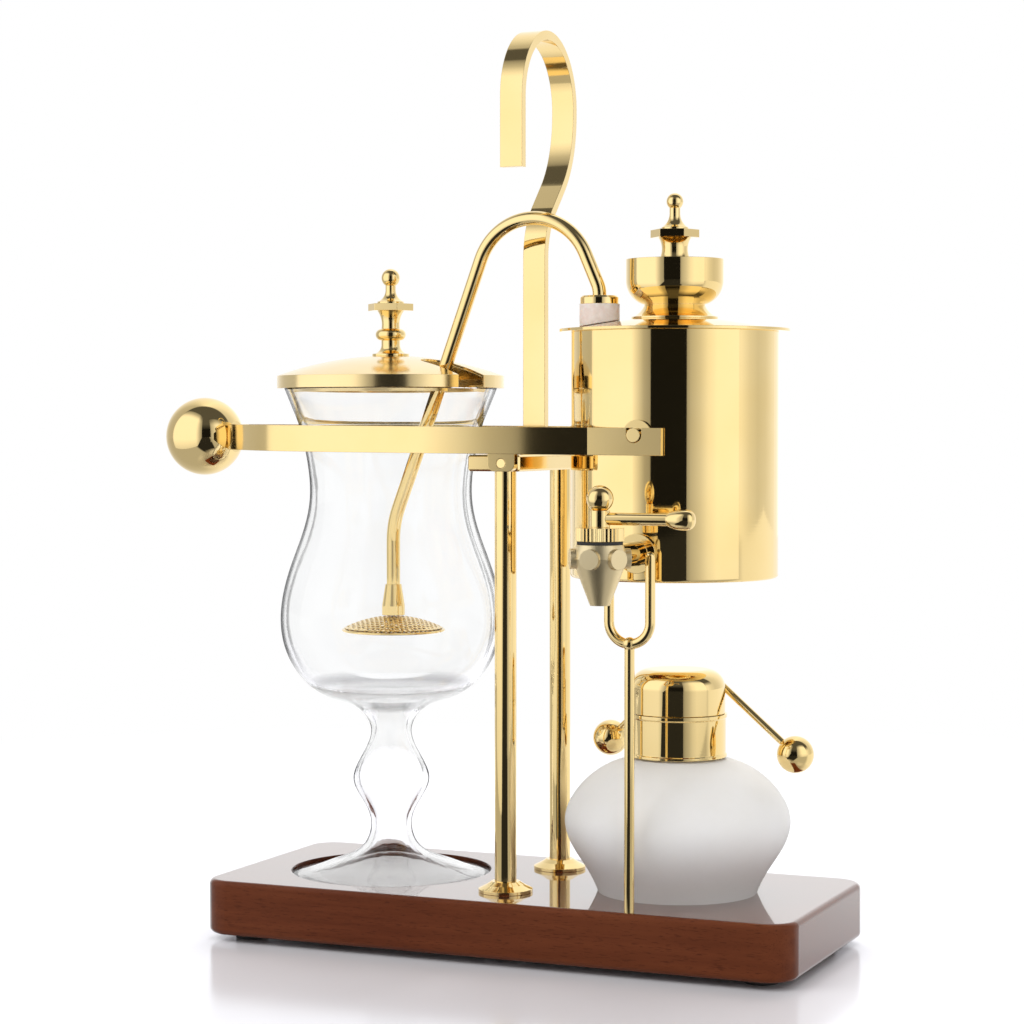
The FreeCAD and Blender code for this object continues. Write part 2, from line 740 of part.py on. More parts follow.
def counterweight_nut():
    nut = hexagon(STUD_NUT_FLATS, 0, 0, 0, STUD_NUT_HEIGHT)
    nut.rotate(V(0, 0, 0), BACK, 90)
    nut.translate(V(BEAM_END_X + BEAM_THICK, 0, BEAM_MIDDLE))
    return slanted(nut.cut(level_stud()))


# Kettle
def kettle_body():
    outer = upright(KETTLE_R, KETTLE_X, 0, KETTLE_BOTTOM, KETTLE_RIM)
    low = level_edges(outer, KETTLE_BOTTOM)
    outer = outer.makeFillet(KETTLE_BOTTOM_ROUND, low)
    inner = upright(KETTLE_R - KETTLE_WALL, KETTLE_X, 0, KETTLE_BOTTOM + KETTLE_WALL, KETTLE_RIM)
    inner_low = level_edges(inner, KETTLE_BOTTOM + KETTLE_WALL)
    inner = inner.makeFillet(KETTLE_BOTTOM_ROUND - KETTLE_WALL / 2, inner_low)
    spout = along(TAP_BORE_R, V(KETTLE_X, 0, TAP_Z), V(KETTLE_X, TAP_Y, TAP_Z))
    return outer.cut([inner, spout])


def lid_slope(lift):
    """The lid's upper face from its brim to the filler bowl, or that much above it."""
    middle = ((LID_LAND_R + BOWL_FOOT_R) / 2, BRIM_TOP + LID_RISE * LID_SWELL + lift)
    return arc((LID_LAND_R, BRIM_TOP + lift), middle, (BOWL_FOOT_R, LID_CROWN + lift))


def kettle_lid():
    """A brimmed lid that rises to the filler bowl, with a threaded neck and a hole for the bung."""
    spigot_r = KETTLE_R - KETTLE_WALL
    sheet = spigot_r - LID_SHEET
    slope_low = ((sheet + BOWL_FOOT_R) / 2, KETTLE_RIM + LID_RISE * LID_SWELL)
    edges = lines(
        (BOWL_FOOT_R, LID_CROWN),
        (NECK_R + NECK_WALL, LID_CROWN),
        (NECK_R + NECK_WALL, LID_CROWN + LID_SHEET),
        (NECK_R, LID_CROWN + LID_SHEET),
        (NECK_R, LID_CROWN - NECK_DROP),
        (NECK_R + NECK_WALL, LID_CROWN - NECK_DROP),
        (NECK_R + NECK_WALL, LID_CROWN - BRIM_THICK),
        (BOWL_FOOT_R, LID_CROWN - BRIM_THICK),
    )
    edges.append(arc((BOWL_FOOT_R, LID_CROWN - BRIM_THICK), slope_low, (sheet, KETTLE_RIM)))
    edges += lines(
        (sheet, KETTLE_RIM),
        (sheet, KETTLE_RIM - LID_SPIGOT),
        (spigot_r, KETTLE_RIM - LID_SPIGOT),
        (spigot_r, KETTLE_RIM),
        (BRIM_R, KETTLE_RIM),
        (BRIM_R, BRIM_TOP),
        (LID_LAND_R, BRIM_TOP),
    )
    edges.append(lid_slope(0.0))
    lid = spin(edges, KETTLE_X, 0)
    hole = upright(BUNG_NOSE_R + RUNNING_GAP, TUBE_X, TUBE_Y, KETTLE_BOTTOM, LID_CROWN + BUNG_HEIGHT)
    return lid.cut(hole)


def bowl_side(wall, bottom):
    """The bowl's rounded side, from a level up to its straight band, a wall inside its outer face."""
    band = BOWL_SEAT + BOWL_HEIGHT - BOWL_BAND
    reach = BOWL_R - BOWL_WAIST_R
    height = band - BOWL_SEAT
    radius = (reach * reach + height * height) / (2 * reach)
    centre = BOWL_R - radius
    radius -= wall
    turn = math.asin((band - bottom) / radius)
    start = (centre + radius * math.cos(turn), bottom)
    middle = (centre + radius * math.cos(turn / 2), band - radius * math.sin(turn / 2))
    return start, arc(start, middle, (centre + radius, band))


def filler_bowl():
    """An open bowl on the lid's neck, with a flared foot, a waist and a straight upper band."""
    floor = BOWL_SEAT
    top = floor + BOWL_HEIGHT
    band = top - BOWL_BAND
    waist = BOWL_WAIST_R
    neck = NECK_R + NECK_WALL
    edge = LID_CROWN + BOWL_FOOT_EDGE
    flare = (waist + (BOWL_FOOT_R - waist) * BOWL_FLARE_SHARE, edge + (floor - edge) * BOWL_FLARE_SHARE)
    inner_floor = floor + BOWL_FLOOR
    _, outer_side = bowl_side(0.0, floor)
    inner_start, inner_side = bowl_side(BOWL_WALL, inner_floor)
    edges = lines(
        (NECK_R, LID_CROWN + LID_SHEET),
        (neck, LID_CROWN + LID_SHEET),
        (neck, LID_CROWN),
        (BOWL_FOOT_R, LID_CROWN),
        (BOWL_FOOT_R, edge),
    )
    edges.append(arc((BOWL_FOOT_R, edge), flare, (waist, floor)))
    edges.append(outer_side)
    edges += lines(
        (BOWL_R, band),
        (BOWL_R, top),
        (BOWL_R - BOWL_WALL, top),
        (BOWL_R - BOWL_WALL, band),
    )
    edges.append(inner_side)
    edges += lines(inner_start, (NECK_R, inner_floor), (NECK_R, LID_CROWN + LID_SHEET))
    return spin(edges, KETTLE_X, 0)


def kettle_trunnions():
    """Pins on both sides of the kettle that hang in the notches of the beam."""
    shell = upright(KETTLE_R, KETTLE_X, 0, KETTLE_BOTTOM, KETTLE_RIM)
    pins = []
    for side in (-1, 1):
        inside = V(KETTLE_X, side * KETTLE_R * INSIDE_SKIN, KETTLE_PIN_Z)
        arm_inner = beam_half(KETTLE_X + KETTLE_BOSS_R) - BEAM_THICK
        boss_end = V(KETTLE_X, side * (arm_inner - LOOSE_GAP), KETTLE_PIN_Z)
        pin_end = V(KETTLE_X, side * (beam_half(KETTLE_X) + KETTLE_PIN_PROUD), KETTLE_PIN_Z)
        pin = fused(along(KETTLE_BOSS_R, inside, boss_end), along(KETTLE_PIN_R, inside, pin_end))
        pins.append(pin.cut(shell))
    return Part.makeCompound(pins)


def tap_flange():
    """A round flange and pipe between the kettle wall and the tap."""
    start = V(KETTLE_X, -KETTLE_R * INSIDE_SKIN, TAP_Z)
    face = V(KETTLE_X, -KETTLE_R - TAP_FLANGE_THICK, TAP_Z)
    end = V(KETTLE_X, TAP_Y, TAP_Z)
    shell = upright(KETTLE_R, KETTLE_X, 0, KETTLE_BOTTOM, KETTLE_RIM)
    pipe = fused(along(TAP_FLANGE_R, start, face), along(TAP_NECK_R, start, end))
    return pipe.cut([shell, along(TAP_BORE_R, start, end), tap_envelope()])


def tap_envelope():
    """The tap's outer form: two cones on one axis, with round bosses about the middle."""
    outline = turned(
        (0, TAP_Z - TAP_TIP_DROP),
        (TAP_TIP_R, TAP_Z - TAP_TIP_DROP),
        (TAP_MAX_R, TAP_Z),
        (TAP_SHOULDER_R, TAP_TOP),
        (0, TAP_TOP),
    )
    middle = V(KETTLE_X, TAP_Y, TAP_Z)
    bosses = []
    for turn in TAP_BOSS_TURNS:
        angle = math.radians(turn)
        outward = V(math.cos(angle), math.sin(angle), 0)
        bosses.append(along(TAP_BOSS_R, middle, middle + outward * TAP_BOSS_REACH))
    return fused(spin(outline, KETTLE_X, TAP_Y), *bosses)


def tap_body():
    """The tap's shell, with a socket for its plug, a spout and an inlet."""
    bottom = TAP_Z - TAP_PLUG_DEPTH
    socket = upright(TAP_PLUG_R + RUNNING_GAP, KETTLE_X, TAP_Y, bottom, TAP_TOP)
    spout = upright(TAP_OUTLET_R, KETTLE_X, TAP_Y, TAP_Z - TAP_TIP_DROP, bottom)
    inlet = along(TAP_BORE_R, V(KETTLE_X, -KETTLE_R, TAP_Z), V(KETTLE_X, TAP_Y, TAP_Z))
    return tap_envelope().cut([socket, spout, inlet])


def tap_ring():
    return tube(TAP_RING_R, TAP_PLUG_R + RUNNING_GAP, KETTLE_X, TAP_Y, TAP_TOP, TAP_NUT_BOTTOM)


def tap_nut():
    """The knurled gland nut on top of the tap."""
    ring = []
    for i in range(2 * TAP_NUT_RIDGES + 1):
        radius = TAP_NUT_R - (TAP_NUT_RIDGE_DEPTH if i % 2 else 0.0)
        angle = math.pi * i / TAP_NUT_RIDGES
        ring.append(V(KETTLE_X + radius * math.cos(angle), TAP_Y + radius * math.sin(angle), TAP_NUT_BOTTOM))
    nut = Part.Face(Part.makePolygon(ring)).extrude(UP * TAP_NUT_HEIGHT)
    bore = TAP_PLUG_R + RUNNING_GAP
    return nut.cut(upright(bore, KETTLE_X, TAP_Y, TAP_NUT_BOTTOM, TAP_NUT_TOP))


def tap_plug():
    """The turning plug, bored across and down: it opens when the lever is turned to the front."""
    bottom = TAP_Z - TAP_PLUG_DEPTH + LOOSE_GAP
    plug = upright(TAP_PLUG_R, KETTLE_X, TAP_Y, bottom, TAP_NUT_TOP + LOOSE_GAP)
    across = along(TAP_OUTLET_R, V(KETTLE_X, TAP_Y, TAP_Z), V(KETTLE_X - 2 * TAP_PLUG_R, TAP_Y, TAP_Z))
    down = upright(TAP_OUTLET_R, KETTLE_X, TAP_Y, bottom, TAP_Z)
    return plug.cut([across, down])


def lever_level():
    return TAP_NUT_TOP + LOOSE_GAP + TAP_HUB_HEIGHT / 2


def tap_lever():
    bottom = TAP_NUT_TOP + LOOSE_GAP
    level = lever_level()
    hub = upright(TAP_HUB_R, KETTLE_X, TAP_Y, bottom, bottom + TAP_HUB_HEIGHT)
    tip = KETTLE_X + TAP_ARM_LENGTH + TAP_EGG_LENGTH / 2
    arm = along(TAP_ARM_R, V(KETTLE_X, TAP_Y, level), V(tip, TAP_Y, level))
    reach = V(TAP_EGG_LENGTH / 2, 0, 0)
    near = V(-reach.x, 0, 0)
    back = V(-reach.x * TAP_EGG_BACK, 0, TAP_EGG_R * TAP_EGG_BACK_SHARE)
    widest = V(reach.x * TAP_EGG_WIDEST, 0, TAP_EGG_R)
    skin = curve([near, back, widest, reach], (TAP_EGG_TAPER, V(0, 0, -1))).toShape()
    half = Part.Face(Part.Wire([skin, Part.LineSegment(reach, near).toShape()]))
    egg = half.revolve(V(0, 0, 0), RIGHT, 360)
    egg.translate(V(tip, TAP_Y, level))
    knob = ball(TAP_BALL_R, KETTLE_X, TAP_Y, bottom + TAP_HUB_HEIGHT + TAP_BALL_R - TAP_BALL_SINK)
    return fused(hub, arm, egg).cut(knob)


def tap_lever_ball():
    bottom = TAP_NUT_TOP + LOOSE_GAP
    return ball(TAP_BALL_R, KETTLE_X, TAP_Y, bottom + TAP_HUB_HEIGHT + TAP_BALL_R - TAP_BALL_SINK)


def finial(x, flange, bottom, thick, cone, neck, rise, bead):
    """A hexagonal flange with a concave cone and a ball above it."""
    top = bottom + thick
    centre = top + rise + bead
    join = centre - math.sqrt(bead * bead - neck * neck)
    lip = (cone, top + thick * FINIAL_LIP)
    hollow = (neck * FINIAL_HOLLOW_R, top + rise * FINIAL_HOLLOW_RISE)
    stem = (neck, top + rise * FINIAL_STEM_RISE)
    edges = lines((0, bottom), (cone, bottom), lip)
    edges.append(arc(lip, hollow, stem))
    edges += lines(stem, (neck, join))
    edges.append(arc((neck, join), (bead, centre), (0, centre + bead)))
    edges += lines((0, centre + bead), (0, bottom))
    nut = hexagon(flange * math.sqrt(3), x, 0, bottom, top, FINIAL_TURN)
    return fused(nut, spin(edges, x, 0))


def filler_plug():
    bottom = PLUG_SEAT
    flange = bottom + PLUG_BODY
    waist = (bottom + flange) / 2 + PLUG_FLANGE_THICK
    shank = NECK_R - RUNNING_GAP
    edges = lines((0, flange), (PLUG_FOOT_R, flange))
    edges.append(arc((PLUG_FOOT_R, flange), (PLUG_WAIST_R, (flange + waist) / 2), (PLUG_FOOT_R, waist)))
    edges += lines(
        (PLUG_FOOT_R, waist),
        (PLUG_FOOT_R, bottom),
        (shank, bottom),
        (shank, bottom - PLUG_SHANK),
        (0, bottom - PLUG_SHANK),
        (0, flange),
    )
    top = finial(KETTLE_X, PLUG_FLANGE_R, flange, PLUG_FLANGE_THICK, PLUG_CONE_R, PLUG_NECK_R,
                 PLUG_NECK_RISE, PLUG_BALL_R)
    return fused(spin(edges, KETTLE_X, 0), top)


def filler_plug_seal():
    return tube(PLUG_SEAL_R, NECK_R, KETTLE_X, 0, PLUG_SEAT - PLUG_SEAL_THICK, PLUG_SEAT)


# Bung, tube and filter
def tube_route():
    """Up out of the kettle, over an arch, down through the lid's slot and straight down to the filter."""
    low = KETTLE_BOTTOM + KETTLE_WALL + TUBE_ABOVE_FLOOR
    out = WASHER_TOP + TUBE_OUT_RISE
    end = GLASS_FLOOR + TUBE_END_RISE
    corner_x = TUBE_X - TUBE_ARCH_CORNER_RISE * math.tan(math.radians(TUBE_OUT_LEAN))
    corner_z = out + TUBE_ARCH_CORNER_RISE
    fall = (corner_x - TUBE_FILTER_X) / math.tan(math.radians(TUBE_IN_LEAN))
    spots = [(TUBE_X, low), (TUBE_X, out), (corner_x, corner_z)]
    spots += [(TUBE_FILTER_X, corner_z - fall), (TUBE_FILTER_X, end)]
    return [V(x, TUBE_Y, z) for x, z in spots]


def siphon_tube():
    points = tube_route()
    path = rounded_route(points, [TUBE_OUT_BEND_R, TUBE_ARCH_R, TUBE_IN_BEND_R])
    outer = Part.Wire(Part.makeCircle(TUBE_R, points[0], UP))
    bore = Part.Wire(Part.makeCircle(TUBE_R - TUBE_WALL, points[0], UP))
    solid = path.makePipeShell([outer], True, False).cut(path.makePipeShell([bore], True, False))
    section = math.pi * (TUBE_R ** 2 - (TUBE_R - TUBE_WALL) ** 2)
    return solid


def bung():
    """A tapered stopper, seated on the sloping lid, with the tube through it."""
    cap = upright(BUNG_R, TUBE_X, TUBE_Y, BRIM_TOP, BUNG_TOP)
    slope = lid_top_solid()
    nose = upright(BUNG_NOSE_R, TUBE_X, TUBE_Y, BUNG_SEAT - BUNG_NOSE, BUNG_TOP)
    bore = upright(TUBE_R, TUBE_X, TUBE_Y, BUNG_SEAT - BUNG_NOSE, BUNG_TOP)
    return fused(cap.cut(slope), nose).cut(bore)


def lid_top_solid():
    """What lies under the lid's upper face, with a little room above it."""
    edges = lines((0, KETTLE_RIM), (LID_LAND_R, KETTLE_RIM), (LID_LAND_R, BRIM_TOP + LOOSE_GAP))
    edges.append(lid_slope(LOOSE_GAP))
    edges += lines((BOWL_FOOT_R, LID_CROWN + LOOSE_GAP), (0, LID_CROWN + LOOSE_GAP), (0, KETTLE_RIM))
    return spin(edges, KETTLE_X, 0)


def bung_washer():
    outline = turned(
        (TUBE_R, BUNG_TOP),
        (BUNG_WASHER_R, BUNG_TOP),
        (BUNG_WASHER_R, WASHER_TOP - BUNG_WASHER_EDGE),
        (BUNG_WASHER_R - BUNG_WASHER_EDGE, WASHER_TOP),
        (TUBE_R, WASHER_TOP),
    )
    return spin(outline, TUBE_X, TUBE_Y)


def filter_levels():
    """The tube's end, the nozzle's top and bottom, and the filter's rim."""
    end = GLASS_FLOOR + TUBE_END_RISE
    top = end + NOZZLE_OVERLAP
    bottom = top - NOZZLE_LENGTH
    return end, top, bottom, bottom - FILTER_CROWN


def filter_nozzle():
    end, top, bottom, _ = filter_levels()
    swell = bottom + NOZZLE_LENGTH * 0.3
    bore = TUBE_R - TUBE_WALL
    outline = turned(
        (TUBE_R, top),
        (NOZZLE_TOP_R, top),
        (NOZZLE_MAX_R, swell),
        (NOZZLE_MAX_R, bottom),
        (bore, bottom),
        (bore, end),
        (TUBE_R, end),
    )
    return spin(outline, TUBE_FILTER_X, TUBE_Y)


def filter_head():
    """The perforated dome of the filter, with its holes in rings."""
    _, _, crown, rim = filter_levels()
    middle = FILTER_R * 0.5
    sag = FILTER_CROWN * 0.24
    edges = lines((0, crown - FILTER_SHEET), (0, crown))
    edges.append(arc((0, crown), (middle, crown - sag), (FILTER_R, rim)))
    edges += lines(
        (FILTER_R, rim),
        (FILTER_R, rim - FILTER_EDGE),
        (FILTER_R - FILTER_SHEET, rim - FILTER_EDGE),
        (FILTER_R - FILTER_SHEET, rim - FILTER_SHEET),
    )
    edges.append(arc((FILTER_R - FILTER_SHEET, rim - FILTER_SHEET), (middle, crown - sag - FILTER_SHEET),
                     (0, crown - FILTER_SHEET)))
    dome = spin(edges, TUBE_FILTER_X, TUBE_Y)
    inlet = upright(TUBE_R - TUBE_WALL, TUBE_FILTER_X, TUBE_Y, rim, crown + FILTER_SHEET)
    first = NOZZLE_MAX_R + 3 * FILTER_HOLE_R
    step = (FILTER_R - 3 * FILTER_HOLE_R - first) / (FILTER_RINGS - 1)
    holes = [inlet]
    for ring in range(FILTER_RINGS):
        radius = first + ring * step
        count = int(math.pi * radius / (2 * FILTER_HOLE_R))
        for i in range(count):
            angle = 2 * math.pi * (i + 0.5 * (ring % 2)) / count
            x = TUBE_FILTER_X + radius * math.cos(angle)
            y = TUBE_Y + radius * math.sin(angle)
            holes.append(upright(FILTER_HOLE_R, x, y, rim - FILTER_EDGE, crown + FILTER_SHEET))
    return dome.cut(holes)


def filter_plate():
    """The plate that closes the filter from below."""
    _, _, _, rim = filter_levels()
    bottom = rim - FILTER_EDGE
    return upright(FILTER_R - FILTER_SHEET, TUBE_FILTER_X, TUBE_Y, bottom, bottom + FILTER_PLATE_SHEET)


# Glass and its lid
def glass_vessel():
    """A stemmed glass with a hollow foot and stem, a hollow knop and a bowl drawn in at a waist."""
    stand = GLASS_STAND

    def spot(radius, rise):
        return V(radius, 0, stand + rise)

    edge = spot(GLASS_FOOT_R, GLASS_FOOT_EDGE)
    foot = spot((GLASS_FOOT_R + GLASS_FLARE_R) / 2, GLASS_FLARE_RISE * GLASS_FOOT_SAG)
    stem = [
        foot,
        spot(GLASS_FLARE_R, GLASS_FLARE_RISE),
        spot(GLASS_LOW_NECK_R, GLASS_LOW_NECK_RISE),
        spot(GLASS_KNOP_R, GLASS_KNOP_RISE),
        spot(GLASS_HIGH_NECK_R, GLASS_HIGH_NECK_RISE),
    ]
    basin = spot(GLASS_BASIN_R, GLASS_BASIN_RISE)
    low_side = GLASS_BASIN_RISE + (GLASS_BELLY_RISE - GLASS_BASIN_RISE) * GLASS_LOW_SIDE_SHARE
    bowl = [
        spot((GLASS_BASIN_R + GLASS_BELLY_R) / 2, low_side),
        spot(GLASS_BELLY_R, GLASS_BELLY_RISE),
        spot(GLASS_SHOULDER_R, GLASS_SHOULDER_RISE),
        spot(GLASS_WAIST_R, GLASS_WAIST_RISE),
        spot(GLASS_THROAT_R, GLASS_THROAT_RISE),
        spot(GLASS_RIM_R, GLASS_HEIGHT),
    ]
    neck_flare = spot(GLASS_BASIN_R * GLASS_NECK_FLARE_OUT, GLASS_BASIN_RISE * GLASS_NECK_FLARE_UP)
    outside_points = [edge] + stem + [neck_flare, basin] + bowl
    outside = curve(outside_points, (GLASS_FOOT_SLOPE, GLASS_RIM_SLOPE))
    inner_bowl = inset(outside, bowl, GLASS_WALL)
    inner_bowl[-1] = V(GLASS_RIM_R - GLASS_WALL, 0, stand + GLASS_HEIGHT)
    floor = V(0, 0, GLASS_FLOOR)
    bowl_skin = curve([floor] + inner_bowl, (RIGHT, GLASS_RIM_SLOPE))
    hollow = inset(outside, stem + [neck_flare], GLASS_WALL)
    hollow_top = spot(0, GLASS_FLOOR_RISE - GLASS_WALL)
    hollow_foot = spot(GLASS_FOOT_R - GLASS_WALL, 0)
    flare_slope = outside.tangent(outside.parameter(neck_flare))[0]
    hollow_skin = curve([hollow_foot] + hollow, (GLASS_HOLLOW_SLOPE, flare_slope))
    foot_ring = spot(GLASS_FOOT_R, 0)
    edges = [
        Part.LineSegment(hollow_foot, foot_ring).toShape(),
        Part.LineSegment(foot_ring, edge).toShape(),
        outside.toShape(),
        Part.LineSegment(bowl[-1], inner_bowl[-1]).toShape(),
        bowl_skin.toShape(),
        Part.LineSegment(floor, hollow_top).toShape(),
        Part.LineSegment(hollow_top, hollow[-1]).toShape(),
        hollow_skin.toShape(),
    ]
    return spin(edges, GLASS_X, 0)


def lid_dome_arc():
    middle = (LID_R * LID_DOME_REACH, LID_BAND_TOP + LID_DOME * LID_DOME_SHARE)
    return arc((LID_R, LID_BAND_TOP), middle, (0, LID_TOP))


def glass_lid():
    """A domed lid with a slot, open at the rim, for the siphon tube."""
    band = LID_BAND_TOP
    inner_top = LID_TOP - LID_WALL
    ring_out = GLASS_RIM_R - GLASS_WALL - LID_RING_DROP * LID_RING_TAPER - LID_RING_GAP
    ring_in = min(LID_LIP_R, ring_out - LID_WALL)
    edges = lines(
        (ring_out, GLASS_RIM - LID_RING_DROP),
        (ring_out, GLASS_RIM),
        (LID_R, GLASS_RIM),
        (LID_R, band),
    )
    edges.append(lid_dome_arc())
    edges += lines((0, LID_TOP), (0, inner_top))
    middle = (LID_R * LID_DOME_REACH - LID_WALL / 2, inner_top - LID_DOME * (1 - LID_DOME_SHARE))
    edges.append(arc((0, inner_top), middle, (LID_R - LID_WALL, band - LID_WALL)))
    edges += lines(
        (LID_R - LID_WALL, band - LID_WALL),
        (LID_R - LID_WALL, GLASS_RIM + LID_WALL),
        (ring_in, GLASS_RIM + LID_WALL),
        (ring_in, GLASS_RIM - LID_RING_DROP),
        (ring_out, GLASS_RIM - LID_RING_DROP),
    )
    lid = spin(edges, 0, 0)
    low = GLASS_RIM - LID_RING_DROP
    slot = fused(
        upright(SLOT_WIDTH / 2, SLOT_ROOT, 0, low, LID_TOP),
        block(SLOT_ROOT, 2 * LID_R, -SLOT_WIDTH / 2, SLOT_WIDTH / 2, low, LID_TOP),
    )
    slot.rotate(V(0, 0, 0), UP, SLOT_TURN)
    lid = lid.cut([slot, upright(KNOB_SCREW_R, 0, 0, inner_top - LID_DOME, LID_TOP)])
    lid.translate(V(GLASS_X, 0, 0))
    return lid


def lid_knob():
    """A turned knob with a foot, a bead, a hexagonal flange and a ball."""
    foot = LID_TOP - LID_DOME * KNOB_SINK
    bead = foot + KNOB_BEAD_RISE
    flange = foot + KNOB_FLANGE_RISE
    shoulder = foot + KNOB_FOOT_HEIGHT
    half = KNOB_BEAD_R - KNOB_STEM_R
    edges = lines((0, flange), (KNOB_CONE_R, flange))
    bead_top = bead + half
    edges.append(arc((KNOB_CONE_R, flange), (KNOB_STEM_R, (flange + bead_top) / 2), (KNOB_STEM_R, bead_top)))
    edges.append(arc((KNOB_STEM_R, bead + half), (KNOB_BEAD_R, bead), (KNOB_STEM_R, bead - half)))
    edges += lines((KNOB_STEM_R, bead - half), (KNOB_STEM_R, shoulder))
    waist = ((KNOB_STEM_R + KNOB_FOOT_R) / 2 - KNOB_FOOT_HOLLOW, foot + KNOB_FOOT_HEIGHT * KNOB_FOOT_WAIST)
    edges.append(arc((KNOB_STEM_R, shoulder), waist, (KNOB_FOOT_R, foot + KNOB_FOOT_EDGE)))
    sunk = LID_TOP - KNOB_SUNK
    edges += lines((KNOB_FOOT_R, foot + KNOB_FOOT_EDGE), (KNOB_FOOT_R, sunk), (0, sunk),
                   (0, flange))
    top = finial(0, KNOB_FLANGE_R, flange, KNOB_FLANGE_THICK, KNOB_CONE_R,
                 KNOB_NECK_R, KNOB_NECK_RISE, KNOB_BALL_R)
    knob = fused(spin(edges), top)
    knob = knob.cut([lid_dome(), upright(KNOB_SCREW_R, 0, 0, LID_BAND_TOP, LID_TOP + KNOB_SCREW_DEPTH)])
    knob.translate(V(GLASS_X, 0, 0))
    return knob


def lid_dome():
    """What lies under the upper face of the glass lid."""
    band = LID_BAND_TOP
    edges = lines((0, band), (LID_R, band))
    edges.append(lid_dome_arc())
    edges += lines((0, LID_TOP), (0, band))
    return spin(edges)


def lid_knob_screw():
    seat = LID_TOP - LID_WALL - KNOB_SCREW_SEAT
    head = upright(KNOB_SCREW_HEAD_R, GLASS_X, 0, seat - KNOB_SCREW_HEAD, seat)
    shank = upright(KNOB_SCREW_R, GLASS_X, 0, seat, LID_TOP + KNOB_SCREW_DEPTH)
    return fused(head, shank)


# Spirit lamp, built about its own axis and then turned into place
def placed(shape):
    shape.rotate(V(0, 0, 0), UP, LAMP_TURN)
    shape.translate(V(LAMP_X, 0, 0))
    return shape


def lamp_bottle():
    stand = BASE_TOP

    def spot(radius, rise):
        return V(radius, 0, stand + rise)

    skin_points = [
        spot(LAMP_FOOT_R, 0),
        spot(LAMP_LOWER_R, LAMP_LOWER_RISE),
        spot(LAMP_FLANK_R, LAMP_FLANK_RISE),
        spot(LAMP_BELLY_R, LAMP_BELLY_RISE),
        spot(LAMP_SHOULDER_R, LAMP_SHOULDER_RISE),
        spot(LAMP_NECK_R, LAMP_NECK_RISE),
    ]
    skin = curve(skin_points, (LAMP_FOOT_SLOPE, LAMP_SHOULDER_SLOPE))
    inner = inset(skin, skin_points[1:-1], LAMP_GLASS)
    inside_neck = spot(LAMP_NECK_R - LAMP_GLASS, LAMP_NECK_RISE - LAMP_GLASS / 2)
    floor = spot(LAMP_FOOT_R - LAMP_GLASS, LAMP_FLOOR)
    inner_skin = curve([floor] + inner + [inside_neck], (LAMP_FOOT_SLOPE, LAMP_SHOULDER_SLOPE))
    middle = V(0, 0, stand + LAMP_FLOOR)
    neck_top = spot(LAMP_NECK_R, LAMP_NECK_TOP)
    inside_top = spot(LAMP_NECK_R - LAMP_GLASS, LAMP_NECK_TOP)
    edges = [
        Part.LineSegment(V(0, 0, stand), skin_points[0]).toShape(),
        skin.toShape(),
        Part.LineSegment(skin_points[-1], neck_top).toShape(),
        Part.LineSegment(neck_top, inside_top).toShape(),
        Part.LineSegment(inside_top, inside_neck).toShape(),
        inner_skin.toShape(),
        Part.LineSegment(floor, middle).toShape(),
        Part.LineSegment(middle, V(0, 0, stand)).toShape(),
    ]
    return placed(spin(edges))


def lamp_collar():
    """The screwed collar on the bottle's neck, with a bead at each end."""
    low = BASE_TOP + COLLAR_LOW_RISE
    top = COLLAR_TOP
    inner = COLLAR_OUT_R - COLLAR_SHEET
    neck_top = BASE_TOP + LAMP_NECK_TOP
    outline = turned(
        (LAMP_NECK_R, low),
        (COLLAR_OUT_R, low),
        (COLLAR_OUT_R, low + 2 * COLLAR_BEAD),
        (COLLAR_OUT_R - COLLAR_BEAD, low + 3 * COLLAR_BEAD),
        (COLLAR_OUT_R - COLLAR_BEAD, top - 4 * COLLAR_BEAD),
        (COLLAR_OUT_R, top - 3 * COLLAR_BEAD),
        (COLLAR_OUT_R, top),
        (inner, top),
        (inner, neck_top + BURNER_THICK),
        (BURNER_R, neck_top + BURNER_THICK),
        (BURNER_R, neck_top),
        (LAMP_NECK_R, neck_top),
    )
    return placed(spin(outline))


def wick_holder():
    """A plate on the bottle's mouth with the tube that holds the wick."""
    plate = BASE_TOP + LAMP_NECK_TOP
    top = plate + BURNER_THICK
    outline = turned(
        (WICK_R, plate - BURNER_TUBE_DROP),
        (BURNER_TUBE_R, plate - BURNER_TUBE_DROP),
        (BURNER_TUBE_R, plate),
        (BURNER_R, plate),
        (BURNER_R, top),
        (BURNER_TUBE_R, top),
        (BURNER_TUBE_R, top + BURNER_TUBE_HEIGHT),
        (WICK_R, top + BURNER_TUBE_HEIGHT),
    )
    return placed(spin(outline))


def wick():
    bottom = BASE_TOP + LAMP_FLOOR + WICK_FLOOR_GAP
    top = BASE_TOP + LAMP_NECK_TOP + BURNER_THICK + BURNER_TUBE_HEIGHT + WICK_PROUD
    return placed(upright(WICK_R, 0, 0, bottom, top))


